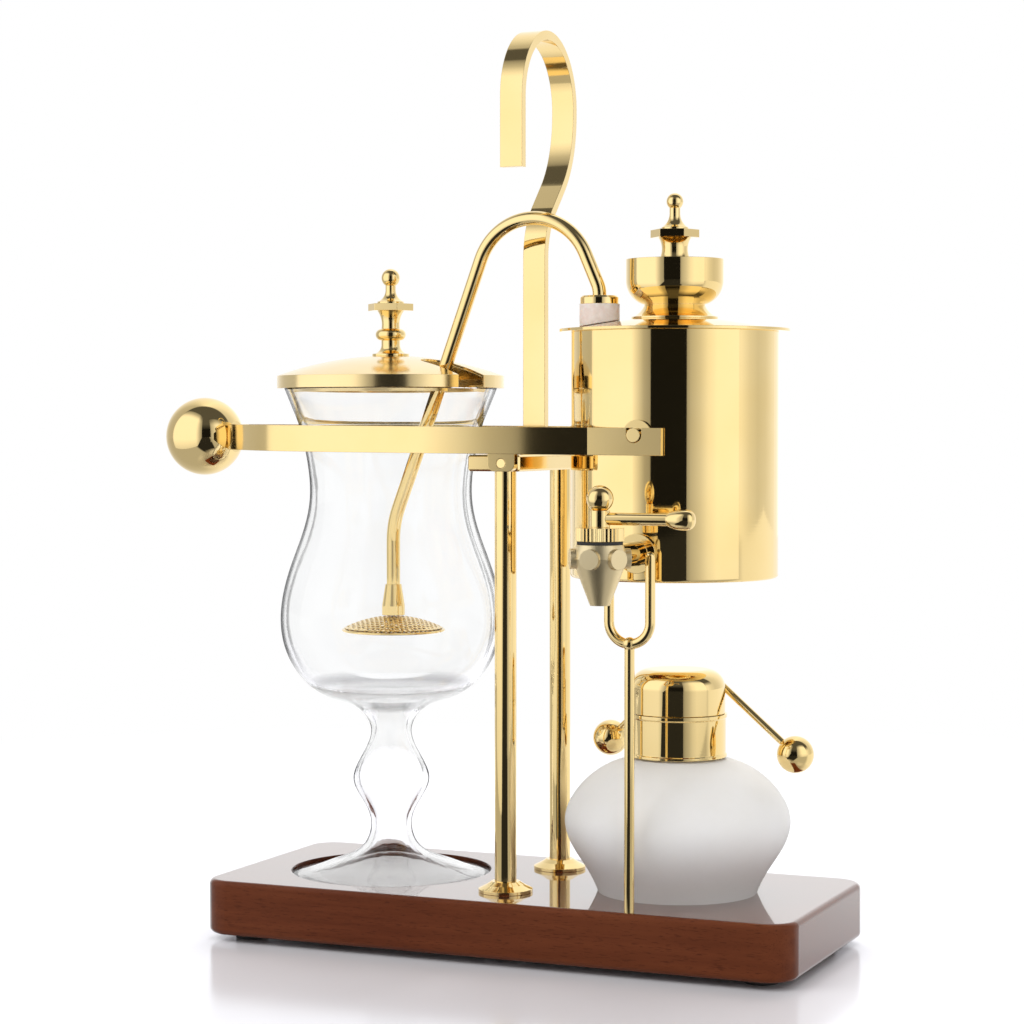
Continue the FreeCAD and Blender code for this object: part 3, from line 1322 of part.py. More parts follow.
def hinge_bracket():
    """A plate on the collar's back with two ears that carry the hinge pin."""
    inner = HINGE_BARREL_HALF + LOOSE_GAP
    outer = inner + HINGE_EAR
    wall = COLLAR_OUT_R - COLLAR_BEAD
    back = COLLAR_OUT_R + HINGE_PLATE_THICK
    top = HINGE_Z - HINGE_BARREL_R - LOOSE_GAP
    plate = block(-outer, outer, wall * INSIDE_SKIN, back, HINGE_Z - HINGE_PLATE_DROP, top)
    pieces = []
    for side in (-1, 1):
        x0, x1 = sorted((side * inner, side * outer))
        ear = along(HINGE_BARREL_R, V(x0, HINGE_BACK, HINGE_Z), V(x1, HINGE_BACK, HINGE_Z))
        web = block(x0, x1, COLLAR_OUT_R, HINGE_BACK + HINGE_BARREL_R, HINGE_Z - HINGE_PLATE_DROP, HINGE_Z)
        pieces += [ear, web]
    pin = along(HINGE_PIN_R, V(-outer, HINGE_BACK, HINGE_Z), V(outer, HINGE_BACK, HINGE_Z))
    bracket = fused(plate, *pieces)
    body = upright(COLLAR_OUT_R, 0, 0, BASE_TOP, COLLAR_TOP)
    return bracket.cut([body, pin])


def snuffer_hinge_bracket():
    return placed(hinge_bracket())


def snuffer_hinge_pin():
    reach = HINGE_BARREL_HALF + LOOSE_GAP + HINGE_EAR
    return placed(along(HINGE_PIN_R, V(-reach, HINGE_BACK, HINGE_Z), V(reach, HINGE_BACK, HINGE_Z)))


def arm_ends(side):
    """The two ends of a weight's rod: inside the cap's wall and at the ball's centre."""
    near = V(side * ARM_ROD_U, ARM_ROD_V, CAP_BOTTOM + ARM_ROD_RISE)
    far = V(side * ARM_BALL_U, ARM_BALL_V, CAP_BOTTOM - ARM_BALL_DROP)
    return near, far


def snuffer_cap():
    """A domed cap over the wick, with the hinge barrel on its back."""
    top = CAP_BOTTOM + CAP_HEIGHT
    bend = 1 - math.sqrt(0.5)
    inner_round = CAP_ROUND - CAP_WALL
    inner_r = CAP_R - CAP_WALL
    inner_top = top - CAP_WALL
    edges = lines((inner_r, CAP_BOTTOM), (CAP_R, CAP_BOTTOM), (CAP_R, top - CAP_ROUND))
    outer_bend = (CAP_R - bend * CAP_ROUND, top - bend * CAP_ROUND)
    edges.append(arc((CAP_R, top - CAP_ROUND), outer_bend, (CAP_R - CAP_ROUND, top)))
    edges += lines((CAP_R - CAP_ROUND, top), (0, top), (0, inner_top), (inner_r - inner_round, inner_top))
    inner_bend = (inner_r - bend * inner_round, inner_top - bend * inner_round)
    edges.append(arc((inner_r - inner_round, inner_top), inner_bend, (inner_r, inner_top - inner_round)))
    edges += lines((inner_r, inner_top - inner_round), (inner_r, CAP_BOTTOM))
    rods = [along(ARM_ROD_R, *arm_ends(side)) for side in (-1, 1)]
    return placed(spin(edges).cut(rods))


def cap_knuckle():
    """The hinge barrel and its tongue, fixed to the back of the cap."""
    start = V(-HINGE_BARREL_HALF, HINGE_BACK, HINGE_Z)
    end = V(HINGE_BARREL_HALF, HINGE_BACK, HINGE_Z)
    half = HINGE_BARREL_HALF
    low = HINGE_Z + LOOSE_GAP
    tongue = block(-half, half, CAP_R * INSIDE_SKIN, HINGE_BACK, low, HINGE_Z + HINGE_BARREL_R)
    cap = upright(CAP_R, 0, 0, BASE_TOP, CAP_BOTTOM + CAP_HEIGHT)
    collar = upright(COLLAR_OUT_R + LOOSE_GAP, 0, 0, BASE_TOP, COLLAR_TOP + CAP_SEAT_GAP)
    knuckle = fused(along(HINGE_BARREL_R, start, end), tongue)
    return placed(knuckle.cut([cap, collar, along(HINGE_PIN_R + RUNNING_GAP, start, end)]))


def snuffer_rods():
    rods = []
    for side in (-1, 1):
        near, far = arm_ends(side)
        rods.append(along(ARM_ROD_R, near, far).cut(ball(ARM_BALL_R, far.x, far.y, far.z)))
    return placed(Part.makeCompound(rods))


def snuffer_balls():
    ends = [arm_ends(side)[1] for side in (-1, 1)]
    return placed(Part.makeCompound([ball(ARM_BALL_R, far.x, far.y, far.z) for far in ends]))


FRONT_POST, REAR_POST = post_places()
NODES = {
    "wooden_base": wooden_base(),
    "rubber_feet": rubber_feet(),
    "front_post": post(FRONT_POST),
    "rear_post": post(REAR_POST),
    "front_post_collar": post_collar(FRONT_POST),
    "rear_post_collar": post_collar(REAR_POST),
    "post_tie_rods": post_tie_rods(),
    "post_washers": post_washers(),
    "post_nuts": post_nuts(),
    "bridge_block": bridge_block(),
    "pivot_pins": pivot_pins(),
    "carry_handle": carry_handle(),
    "handle_screw": handle_screw(),
    "guide_fork": guide_fork(),
    "balance_beam": balance_beam(),
    "pivot_lugs": pivot_lugs(),
    "counterweight_ball": counterweight_ball(),
    "counterweight_stud": counterweight_stud(),
    "counterweight_nut": counterweight_nut(),
    "kettle_body": kettle_body(),
    "kettle_lid": kettle_lid(),
    "filler_bowl": filler_bowl(),
    "kettle_trunnions": kettle_trunnions(),
    "tap_flange": tap_flange(),
    "tap_body": tap_body(),
    "tap_ring": tap_ring(),
    "tap_nut": tap_nut(),
    "tap_plug": tap_plug(),
    "tap_lever": tap_lever(),
    "tap_lever_ball": tap_lever_ball(),
    "filler_plug": filler_plug(),
    "filler_plug_seal": filler_plug_seal(),
    "bung": bung(),
    "bung_washer": bung_washer(),
    "siphon_tube": siphon_tube(),
    "filter_nozzle": filter_nozzle(),
    "filter_head": filter_head(),
    "filter_plate": filter_plate(),
    "glass_vessel": glass_vessel(),
    "glass_lid": glass_lid(),
    "lid_knob": lid_knob(),
    "lid_knob_screw": lid_knob_screw(),
    "lamp_bottle": lamp_bottle(),
    "lamp_collar": lamp_collar(),
    "wick_holder": wick_holder(),
    "wick": wick(),
    "snuffer_hinge_bracket": snuffer_hinge_bracket(),
    "snuffer_hinge_pin": snuffer_hinge_pin(),
    "snuffer_cap": snuffer_cap(),
    "cap_knuckle": cap_knuckle(),
    "snuffer_rods": snuffer_rods(),
    "snuffer_balls": snuffer_balls(),
}

os.makedirs("parts", exist_ok=True)
for name, shape in NODES.items():
    shape.exportStep("parts/" + name + ".step")
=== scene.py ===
"""Looks of a balance siphon coffee maker: gold plate, clear and frosted glass, a varnished wooden base.

Metres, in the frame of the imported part: +Z up, +X along the base towards the kettle, the viewer at -Y.
"""
import bmesh
import bpy
import json
import math
from mathutils import Matrix, Vector


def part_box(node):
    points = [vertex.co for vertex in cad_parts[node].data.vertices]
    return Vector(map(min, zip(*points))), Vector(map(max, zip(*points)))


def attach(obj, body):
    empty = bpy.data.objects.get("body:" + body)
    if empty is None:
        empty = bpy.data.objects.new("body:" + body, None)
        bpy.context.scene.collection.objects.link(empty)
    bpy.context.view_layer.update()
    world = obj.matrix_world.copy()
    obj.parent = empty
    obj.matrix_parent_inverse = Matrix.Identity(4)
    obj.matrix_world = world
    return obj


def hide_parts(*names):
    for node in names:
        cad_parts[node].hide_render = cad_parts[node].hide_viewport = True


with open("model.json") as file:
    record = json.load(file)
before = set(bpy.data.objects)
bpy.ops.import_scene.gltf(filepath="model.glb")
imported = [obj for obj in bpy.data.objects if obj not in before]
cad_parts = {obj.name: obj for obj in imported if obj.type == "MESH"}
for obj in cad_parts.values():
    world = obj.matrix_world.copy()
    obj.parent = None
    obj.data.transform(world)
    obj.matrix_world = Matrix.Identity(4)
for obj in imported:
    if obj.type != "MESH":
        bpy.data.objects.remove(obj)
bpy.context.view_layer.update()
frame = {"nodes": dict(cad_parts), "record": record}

MM = 0.001
FULL_TURN = 2 * math.pi

# The photograph's camera
CAMERA_PLACE = Vector((0.4352, -1.0397, 0.2295))
CAMERA_YAW = math.radians(23.1932)
CAMERA_PITCH = math.radians(2.0386)
CAMERA_LENS = 90.24
CAMERA_SENSOR = 36.0

# Filter: a lattice of six-sided cells, each with a round hole, in a thin sheet with a rolled edge
FILTER_PITCH = 2.3 * MM
FILTER_HOLE = 0.78 * MM
FILTER_SHEET = 0.35 * MM
FILTER_ROLL = 0.55 * MM
FILTER_CORNERS = 12
FILTER_ROW = math.sqrt(0.75)
# At its border: how far out the last cells lie, how far in the full holes end, and the holes between
FILTER_LAST_CELL = 0.4 * FILTER_PITCH
FILTER_LAST_HOLE = 0.6 * FILTER_PITCH
FILTER_PIN_HOLE = 0.3 * FILTER_HOLE
FILTER_WELD = 0.02 * MM
FILTER_SLIVER = 0.01 * MM
FILTER_EDGE_STEPS = 96
FILTER_EDGE_SIDES = 10

# Wick: the radius of a strand, how far it weaves in and out, its rise in one turn, and the tip
WICK_STRANDS = 12
WICK_STRAND = 0.8 * MM
WICK_SIDES = 6
WICK_WEAVE = 0.3 * MM
WICK_LAY = 14 * MM
WICK_STEPS = 160
WICK_TIP = 3 * MM
WICK_DRAWN_IN = 0.45
WICK_SCORCH = 6 * MM

# Colours
WHITE = (1.0, 1.0, 1.0, 1.0)
GOLD = (0.95, 0.735, 0.355)
TAP_GOLD = (0.86, 0.72, 0.45)
LID_GOLD = (0.95, 0.75, 0.40)
GOLD_WARMTH = (0.98, 0.96, 0.9)
MAHOGANY_DARK = (0.078, 0.0185, 0.0075, 1.0)
MAHOGANY_LIGHT = (0.122, 0.032, 0.0125, 1.0)
MAHOGANY_DRIFT = (0.140, 0.042, 0.017, 1.0)
MAHOGANY_PORE = (0.040, 0.010, 0.005, 1.0)
GLASS_WALL = (0.992, 0.995, 0.995, 1.0)
# Painted dark reflection: a near-black matt colour laid over the clear glass along its outline
GLASS_PAINTED_EDGE_SHADE = (0.045, 0.047, 0.05, 1.0)
GLASS_FLAT = (0.97, 0.972, 0.972, 1.0)
GLASS_BODY = (0.80, 0.83, 0.84, 1.0)
FROST_DIM = (0.93, 0.915, 0.89, 1.0)
FROST_BRIGHT = (0.965, 0.955, 0.94, 1.0)
SILICONE_CLEAN = (0.74, 0.62, 0.56, 1.0)
SILICONE_DUSTY = (0.82, 0.73, 0.68, 1.0)
RUBBER_DARK = (0.012, 0.012, 0.012, 1.0)
RUBBER_GREY = (0.035, 0.033, 0.031, 1.0)
ZINC_COOL = (0.52, 0.53, 0.55, 1.0)
ZINC_WARM = (0.66, 0.65, 0.61, 1.0)
COTTON_SHADE = (0.62, 0.57, 0.46, 1.0)
COTTON_LIGHT = (0.86, 0.83, 0.75, 1.0)
COTTON_SCORCHED = (0.03, 0.022, 0.016, 1.0)
TABLE_WHITE = (0.84, 0.83, 0.86, 1.0)
TABLE_IN_METAL = (0.52, 0.50, 0.49, 1.0)
TABLE_GLOSS = (0.94, 0.95, 1.0, 1.0)

# Grain of the finishes, in waves to the metre along X, Y and Z
BAR_LINES = (26.0, 26.0, 2600.0)
HANDLE_LINES = (2600.0, 26.0, 26.0)
TURNED_LINES = (18.0, 18.0, 1500.0)
WOOD_DRIFT = (6.0, 20.0, 20.0)
WOOD_FIGURE = (14.0, 190.0, 260.0)
WOOD_PORES = (260.0, 2400.0, 2400.0)
GLASS_WAVES = (22.0, 22.0, 12.0)
MOULD_LINES = (60.0, 60.0, 900.0)
ZINC_LINES = (120.0, 120.0, 2600.0)
COTTON_FIBRES = (2500.0, 2500.0, 500.0)
# The same for grain that is alike all ways
GOLD_HAZE = 30.0
FROST_CLOUDS = 38.0
FROST_TOOTH = 2600.0
SILICONE_DUST = 420.0
RUBBER_GRIT = 1800.0
ZINC_SPANGLE = 260.0

# Depth of that grain, and how far sharp edges look rounded
GOLD_RELIEF = 0.03 * MM
GOLD_EDGE = 0.35 * MM
WOOD_RELIEF = 0.1 * MM
WOOD_EDGE = 0.8 * MM
GLASS_RELIEF = 0.6 * MM
FROST_RELIEF = 0.06 * MM
SILICONE_RELIEF = 0.1 * MM
SILICONE_EDGE = 0.6 * MM
RUBBER_RELIEF = 0.1 * MM
RUBBER_EDGE = 0.5 * MM
ZINC_RELIEF = 0.06 * MM
ZINC_EDGE = 0.3 * MM
COTTON_RELIEF = 0.3 * MM
EDGE_SAMPLES = 6

# What haze and polishing lines each add to the roughness of gold plate
GOLD_UNEVEN = 0.02
# How far red, green and blue light goes into the silicone
SILICONE_DEPTH = (4 * MM, 2 * MM, 1.5 * MM)
# Heights between which the floor of the glass bowl lies
GLASS_FLOOR = (0.096, 0.126)
# Where along X the beam's bow starts and ends, and how much its slope grows in a metre
BEAM_BOW = (-0.05, 0.0455, 2.47)
# How much the varnish mirrors, from a square look to a grazing one
VARNISH_SHEEN = ((0.1, 0.0), (0.4, 0.015), (0.62, 0.07), (0.82, 0.56), (1.0, 0.9))

# Studio: how far out the table top starts and ends to fade, for the camera and then in the metal
FLOOR_SIZE = 8.0
FLOOR_NEAR = 0.40
FLOOR_FAR = 0.80
TABLE_EDGE = 0.14
TABLE_OUT = 0.22
FLOOR_MIRROR = 0.42
STUDIO_GAIN = 1.2
# How bright the studio's walls are in polished metal, by compass degrees from +X towards +Y
STUDIO_RING = (
    (-180, 0.45), (-116, 0.45), (-112, 0.008), (-41, 0.008), (-39, 0.45), (2, 0.45), (6, 0.9), (20, 0.7),
    (34, 0.6), (49, 0.66), (70, 0.85), (100, 1.0), (127, 0.85), (159, 0.5), (180, 0.45),
)
# The same for the table top round the maker
TABLE_RING = (
    (-180, 0.42), (-112, 0.42), (-106, 0.02), (-50, 0.02), (-46, 0.42), (0, 0.45), (10, 0.8), (60, 0.9),
    (127, 0.85), (159, 0.5), (180, 0.42),
)
# The same through clear glass: a white backdrop with greyer parts
BACKDROP = (
    (-180, 0.5), (-165, 0.55), (-150, 1.0), (-98, 0.9), (-92, 0.4), (-68, 0.4), (-62, 0.8), (-25, 1.0),
    (-5, 0.5), (15, 0.5), (40, 1.0), (155, 1.0), (180, 0.5),
)
# The dark ceiling that the metal mirrors, and the direction in which it gives way to the walls
CEILING = 0.1
STUDIO_BACK = (-0.394, 0.919, -0.2)
# Light from the walls on matt surfaces: at the height of the maker, and what the zenith adds
MATT_LIGHT = 0.6
MATT_RISE = 0.4
# Softboxes that only the metal and the varnish mirror, in metres: the ends of their foot, their top,
# how much of the foot is cut off at a slant, and how bright they are along the foot
LEFT_BOX = ((0.02, -0.4884), (-0.75, -0.12), 1.15, 0.15, (
    (0.0, 0.25), (0.012, 0.32), (0.067, 0.43), (0.123, 0.72), (0.179, 1.0), (0.78, 1.0), (0.85, 0.8),
))
RIGHT_BOX = ((0.41, -0.542), (0.95, 0.05), 1.25, 0.0, (
    (0.0, 0.3), (0.048, 0.46), (0.15, 0.62), (0.25, 0.85), (0.37, 1.0), (0.77, 1.0),
))
# Where the slant cut ends, and how the light falls off from the foot of a softbox to its top
SOFTBOX_CUT_TOP = 0.19
SOFTBOX_FALL = ((0.0, 0.7), (0.15, 1.0), (0.58, 1.0), (0.66, 0.8), (0.76, 0.5), (0.94, 0.25), (1.0, 0.06))
# Softboxes that light the maker and aren't mirrored: where they stand, what they face, width and watts
SOFT_LIGHTS = (
    ("key_softbox", (-0.7, -0.7, 0.9), (0, 0, 0.15), 0.7, 5.5),
    ("fill_softbox", (1.0, -0.6, 0.5), (0, 0, 0.1), 0.9, 4.0),
    ("back_softbox", (-0.1, 0.9, 1.0), (0, 0, 0.05), 1.0, 12.0),
)


class Value:
    """A shader socket. Arithmetic on it adds Math nodes to its own tree."""

    def __init__(self, socket):
        self.socket = socket
        self.tree = socket.id_data

    def node(self, kind, settings=None, sockets=None, output=0):
        """Adds any other node: its type, its settings, and the values or links of its sockets."""
        return add_node(self.tree, kind, settings, sockets, output)

    def math(self, operation, other, swapped=False):
        pair = (other, self) if swapped else (self, other)
        return self.node("Math", {"operation": operation}, dict(enumerate(pair)))

    def __add__(self, other):
        return self.math("ADD", other)

    def __sub__(self, other):
        return self.math("SUBTRACT", other)

    def __rsub__(self, other):
        return self.math("SUBTRACT", other, swapped=True)

    def __mul__(self, other):
        return self.math("MULTIPLY", other)

    def __truediv__(self, other):
        return self.math("DIVIDE", other)

    def __rtruediv__(self, other):
        return self.math("DIVIDE", other, swapped=True)

    __radd__ = __add__
    __rmul__ = __mul__


def add_node(tree, kind, settings=None, sockets=None, output=0):
    node = tree.nodes.new("ShaderNode" + kind)
    for name, setting in (settings or {}).items():
        if name == "stops":
            set_stops(node.color_ramp, setting)
        else:
            setattr(node, name, setting)
    for name, value in (sockets or {}).items():
        if isinstance(value, Value):
            tree.links.new(value.socket, node.inputs[name])
        else:
            node.inputs[name].default_value = value
    return Value(node.outputs[output])


def set_stops(colours, stops):
    """Gives a colour ramp its stops, each a place and a colour or a grey."""
    while len(colours.elements) > 1:
        colours.elements.remove(colours.elements[-1])
    for index, (place, colour) in enumerate(stops):
        stop = colours.elements[0] if index == 0 else colours.elements.new(place)
        stop.position = place
        stop.color = colour if isinstance(colour, tuple) else (colour, colour, colour, 1.0)


def blank_material(name):
    """A material with its output, and the coordinates of the piece that it is on."""
    material = bpy.data.materials.new(name)
    material.use_nodes = True
    tree = material.node_tree
    tree.nodes.clear()
    output = tree.nodes.new("ShaderNodeOutputMaterial")
    place = add_node(tree, "TexCoord", output="Object")
    return material, tree, output, place


def coordinate(vector, axis):
    return vector.node("SeparateXYZ", sockets={"Vector": vector}, output=axis)


def stretched(place, scale):
    """The coordinates drawn out, so that a pattern runs long the way that the scale is small."""
    return place.node("Mapping", sockets={"Vector": place, "Scale": scale})


def noise(place, scale=1.0, detail=2.0, roughness=0.5):
    return place.node("TexNoise", sockets={
        "Vector": place, "Scale": scale, "Detail": detail, "Roughness": roughness,
    })


def ramp(value, stops):
    return value.node("ValToRGB", {"stops": stops}, {"Fac": value})


def mixed(factor, first, second):
    return factor.node("Mix", {"data_type": "RGBA"}, {"Factor": factor, "A": first, "B": second}, "Result")


def bump(height, strength, distance, normal=None):
    sockets = {"Height": height, "Strength": strength, "Distance": distance}
    if normal:
        sockets["Normal"] = normal
    return height.node("Bump", sockets=sockets)


def soft_edges(place, radius):
    """A normal that rounds the sharp edges of the solids a little."""
    return place.node("Bevel", {"samples": EDGE_SAMPLES}, {"Radius": radius})


def layered(factor, under, over):
    return under.node("MixShader", sockets={0: factor, 1: under, 2: over})


def connect(shader, output, name="Surface"):
    shader.tree.links.new(shader.socket, output.inputs[name])


def principled(tree, output, sockets):
    connect(add_node(tree, "BsdfPrincipled", sockets=sockets), output)


# Finishes
def gold_plate(name, streaks, roughness, streak_depth, colour=GOLD, bow=None):
    """Gold plate: fine polishing lines, a trace of haze and warmer patches, on a bar that may bow."""
    material, tree, output, place = blank_material(name)
    lines = noise(stretched(place, streaks), detail=3.0, roughness=0.6)
    haze = noise(place, GOLD_HAZE)
    pale = (*colour, 1.0)
    warm = (*(part * share for part, share in zip(colour, GOLD_WARMTH)), 1.0)
    tone = mixed(ramp(haze, ((0.38, 0.0), (0.66, 1.0))), pale, warm)
    shine = roughness + GOLD_UNEVEN * ramp(haze, ((0.4, 0.0), (0.7, 1.0))) + GOLD_UNEVEN * lines
    normal = soft_edges(place, GOLD_EDGE)
    if bow:
        start, end, sharpness = bow
        run = coordinate(place, "X").math("MAXIMUM", start).math("MINIMUM", end) - start
        normal = bump(run * run * (-0.5 * sharpness), strength=1.0, distance=1.0, normal=normal)
    relief = bump(lines, streak_depth, GOLD_RELIEF, normal)
    principled(tree, output, {"Base Color": tone, "Metallic": 1.0, "Roughness": shine, "Normal": relief})
    return material


def mahogany_varnish():
    """Stained mahogany with fine pores along the board, under a gloss varnish that mirrors at a low angle."""
    material, tree, output, place = blank_material("mahogany_varnish")
    drift = noise(stretched(place, WOOD_DRIFT), detail=3.0, roughness=0.55)
    figure = noise(stretched(place, WOOD_FIGURE), detail=4.0, roughness=0.6)
    pores = noise(stretched(place, WOOD_PORES))
    stain = ramp(figure, ((0.30, MAHOGANY_DARK), (0.70, MAHOGANY_LIGHT)))
    stain = mixed(ramp(drift, ((0.35, 0.0), (0.7, 0.5))), stain, MAHOGANY_DRIFT)
    stain = mixed(ramp(pores, ((0.58, 0.0), (0.70, 0.55))), stain, MAHOGANY_PORE)
    relief = bump(figure - pores * 0.5, 0.03, WOOD_RELIEF, soft_edges(place, WOOD_EDGE))
    wood = add_node(tree, "BsdfPrincipled", sockets={
        "Base Color": stain, "Roughness": 0.35 + 0.15 * figure, "Specular IOR Level": 0.04, "Normal": relief,
    })
    varnish = add_node(tree, "BsdfGlossy", sockets={"Color": WHITE, "Roughness": 0.05, "Normal": relief})
    slant = add_node(tree, "LayerWeight", sockets={"Blend": 0.5, "Normal": relief}, output="Facing")
    connect(layered(ramp(slant, VARNISH_SHEEN), wood, varnish), output)
    return material


def clear_glass():
    """Thin blown glass: slightly wavy, with a painted dark reflection along the outline of its upright walls,
    and clear where the bowl's floor lies flat.
    """
    material, tree, output, place = blank_material("clear_glass")
    waves = noise(stretched(place, GLASS_WAVES), detail=1.0)
    wall = add_node(tree, "BsdfPrincipled", sockets={
        "Base Color": GLASS_WALL, "Roughness": 0.0, "IOR": 1.36, "Transmission Weight": 1.0,
        "Normal": bump(waves, 0.02, GLASS_RELIEF),
    })
    # Painted shade: where an upright wall is seen edge-on, a dark matt layer stands in for the dark
    # reflections along the glass's outline
    slant = add_node(tree, "LayerWeight", sockets={"Blend": 0.5}, output="Facing")
    level = coordinate(add_node(tree, "NewGeometry", output="Normal"), "Z").math("ABSOLUTE", 0.0)
    upright = ramp(level, ((0.3, 1.0), (0.6, 0.0)))
    outline = ramp(slant, ((0.73, 0.0), (0.80, 0.7), (1.0, 0.85))) * upright
    painted_dark_edge = add_node(tree, "BsdfDiffuse", sockets={"Color": GLASS_PAINTED_EDGE_SHADE})
    start, end = GLASS_FLOOR
    height = (coordinate(place, "Z") - start) / (end - start)
    in_floor = ramp(height, ((0.0, 0.0), (0.1, 1.0), (0.8, 1.0), (1.0, 0.0)))
    flat = ramp(level, ((0.72, 0.0), (0.92, 0.72))) * in_floor
    through = add_node(tree, "BsdfTransparent", sockets={"Color": GLASS_FLAT})
    connect(layered(flat, layered(outline, wall, painted_dark_edge), through), output)
    body = add_node(tree, "VolumeAbsorption", sockets={"Color": GLASS_BODY, "Density": 5.0})
    connect(body, output, "Volume")
    return material


def frosted_glass():
    """Acid-frosted glass: milky, with a fine even tooth and soft clouds in it."""
    material, tree, output, place = blank_material("frosted_glass")
    clouds = noise(place, FROST_CLOUDS, detail=4.0, roughness=0.6)
    tooth = noise(place, FROST_TOOTH, roughness=0.6)
    milk = mixed(ramp(clouds, ((0.35, 0.0), (0.68, 1.0))), FROST_DIM, FROST_BRIGHT)
    principled(tree, output, {
        "Base Color": milk, "Roughness": 0.50 + 0.1 * clouds, "IOR": 1.4, "Transmission Weight": 0.35,
        "Normal": bump(tooth, 0.1, FROST_RELIEF),
    })
    return material


def silicone():
    """Pinkish white silicone rubber with a satin, slightly dusty skin."""
    material, tree, output, place = blank_material("silicone")
    dust = noise(place, SILICONE_DUST, detail=4.0, roughness=0.6)
    moulded = noise(stretched(place, MOULD_LINES))
    tone = mixed(ramp(dust, ((0.4, 0.0), (0.7, 1.0))), SILICONE_CLEAN, SILICONE_DUSTY)
    principled(tree, output, {
        "Base Color": tone, "Roughness": 0.42 + 0.2 * dust, "Subsurface Weight": 0.25,
        "Subsurface Radius": SILICONE_DEPTH, "Subsurface Scale": 1.0,
        "Normal": bump(moulded, 0.15, SILICONE_RELIEF, soft_edges(place, SILICONE_EDGE)),
    })
    return material


def black_rubber():
    """Dull black rubber with a fine grit."""
    material, tree, output, place = blank_material("black_rubber")
    grit = noise(place, RUBBER_GRIT, detail=3.0, roughness=0.6)
    principled(tree, output, {
        "Base Color": mixed(grit, RUBBER_DARK, RUBBER_GREY), "Roughness": 0.55 + 0.3 * grit,
        "Normal": bump(grit, 0.2, RUBBER_RELIEF, soft_edges(place, RUBBER_EDGE)),
    })
    return material


def bright_steel():
    """Zinc-plated steel for the hidden rods, nuts and screws."""
    material, tree, output, place = blank_material("bright_steel")
    lines = noise(stretched(place, ZINC_LINES))
    spangle = noise(place, ZINC_SPANGLE, detail=3.0)
    principled(tree, output, {
        "Base Color": mixed(spangle, ZINC_COOL, ZINC_WARM), "Metallic": 1.0,
        "Roughness": 0.22 + 0.15 * spangle,
        "Normal": bump(lines, 0.1, ZINC_RELIEF, soft_edges(place, ZINC_EDGE)),
    })
    return material


def cotton_braid():
    """Braided cotton, scorched at the tip."""
    material, tree, output, place = blank_material("cotton_braid")
    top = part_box("wick")[1].z
    fibres = noise(stretched(place, COTTON_FIBRES), detail=4.0, roughness=0.65)
    height = (coordinate(place, "Z") - (top - WICK_SCORCH)) / WICK_SCORCH
    scorch = ramp(height + (fibres - 0.5) * 0.4, ((0.25, 0.0), (0.85, 1.0)))
    cotton = mixed(fibres, COTTON_SHADE, COTTON_LIGHT)
    principled(tree, output, {
        "Base Color": mixed(scorch, cotton, COTTON_SCORCHED), "Roughness": 0.85 + 0.1 * fibres,
        "Normal": bump(fibres, 0.5, COTTON_RELIEF),
    })
    return material


FINISHES = {
    "turned_gold": gold_plate("turned_gold", TURNED_LINES, roughness=0.025, streak_depth=0.04),
    "bar_gold": gold_plate("bar_gold", BAR_LINES, roughness=0.09, streak_depth=0.05, bow=BEAM_BOW),
    "handle_gold": gold_plate("handle_gold", HANDLE_LINES, roughness=0.06, streak_depth=0.05),
    "tap_gold": gold_plate("tap_gold", TURNED_LINES, roughness=0.38, streak_depth=0.08, colour=TAP_GOLD),
    "lid_gold": gold_plate("lid_gold", TURNED_LINES, roughness=0.15, streak_depth=0.05, colour=LID_GOLD),
    "mahogany": mahogany_varnish(),
    "clear_glass": clear_glass(),
    "frosted_glass": frosted_glass(),
    "silicone": silicone(),
    "black_rubber": black_rubber(),
    "steel": bright_steel(),
    "cotton": cotton_braid(),
}
# Pieces of gold plate that aren't finished as the turned ones are
SPECIAL_GOLD = {
    "balance_beam": "bar_gold", "pivot_lugs": "bar_gold", "bridge_block": "bar_gold",
    "carry_handle": "handle_gold", "tap_body": "tap_gold", "glass_lid": "lid_gold",
}


def finish_nodes():
    """Gives each solid the finish of its material slot."""
    for part in frame["record"]["subparts"]:
        name = part["node"]
        slot = part["material_slot"]
        finish = SPECIAL_GOLD.get(name, "turned_gold") if slot == "gold" else slot
        mesh = frame["nodes"][name].data
        mesh.materials.clear()
        mesh.materials.append(FINISHES[finish])


# Pieces
def new_object(name, data):
    item = bpy.data.objects.new(name, data)
    bpy.context.scene.collection.objects.link(item)
    return item


def new_piece(name, mesh, finish, body):
    """Puts a mesh in the scene with a finish, riding on a body."""
    piece = new_object(name, mesh)
    mesh.materials.append(FINISHES[finish])
    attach(piece, body)
    return piece


def smooth_mesh(name, faces):
    mesh = bpy.data.meshes.new(name)
    faces.to_mesh(mesh)
    faces.free()
    mesh.shade_smooth()
    return mesh


def tube_mesh(name, paths, radius, sides):
    """Round strands along lists of points, closed at their ends."""
    strands = bmesh.new()
    turns = [FULL_TURN * side / sides for side in range(sides)]
    for path in paths:
        last = None
        for index, spot in enumerate(path):
            along = (path[min(index + 1, len(path) - 1)] - path[max(index - 1, 0)]).normalized()
            if last is None:
                across = along.orthogonal().normalized()
            else:
                across = (across - along * across.dot(along)).normalized()
            over = along.cross(across)
            ring = []
            for turn in turns:
                outward = across * math.cos(turn) + over * math.sin(turn)
                ring.append(strands.verts.new(spot + outward * radius))
            if last is None:
                strands.faces.new(list(reversed(ring)))
            else:
                for side in range(sides):
                    after = (side + 1) % sides
                    strands.faces.new((last[side], last[after], ring[after], ring[side]))
            last = ring
        strands.faces.new(last)
    return smooth_mesh(name, strands)


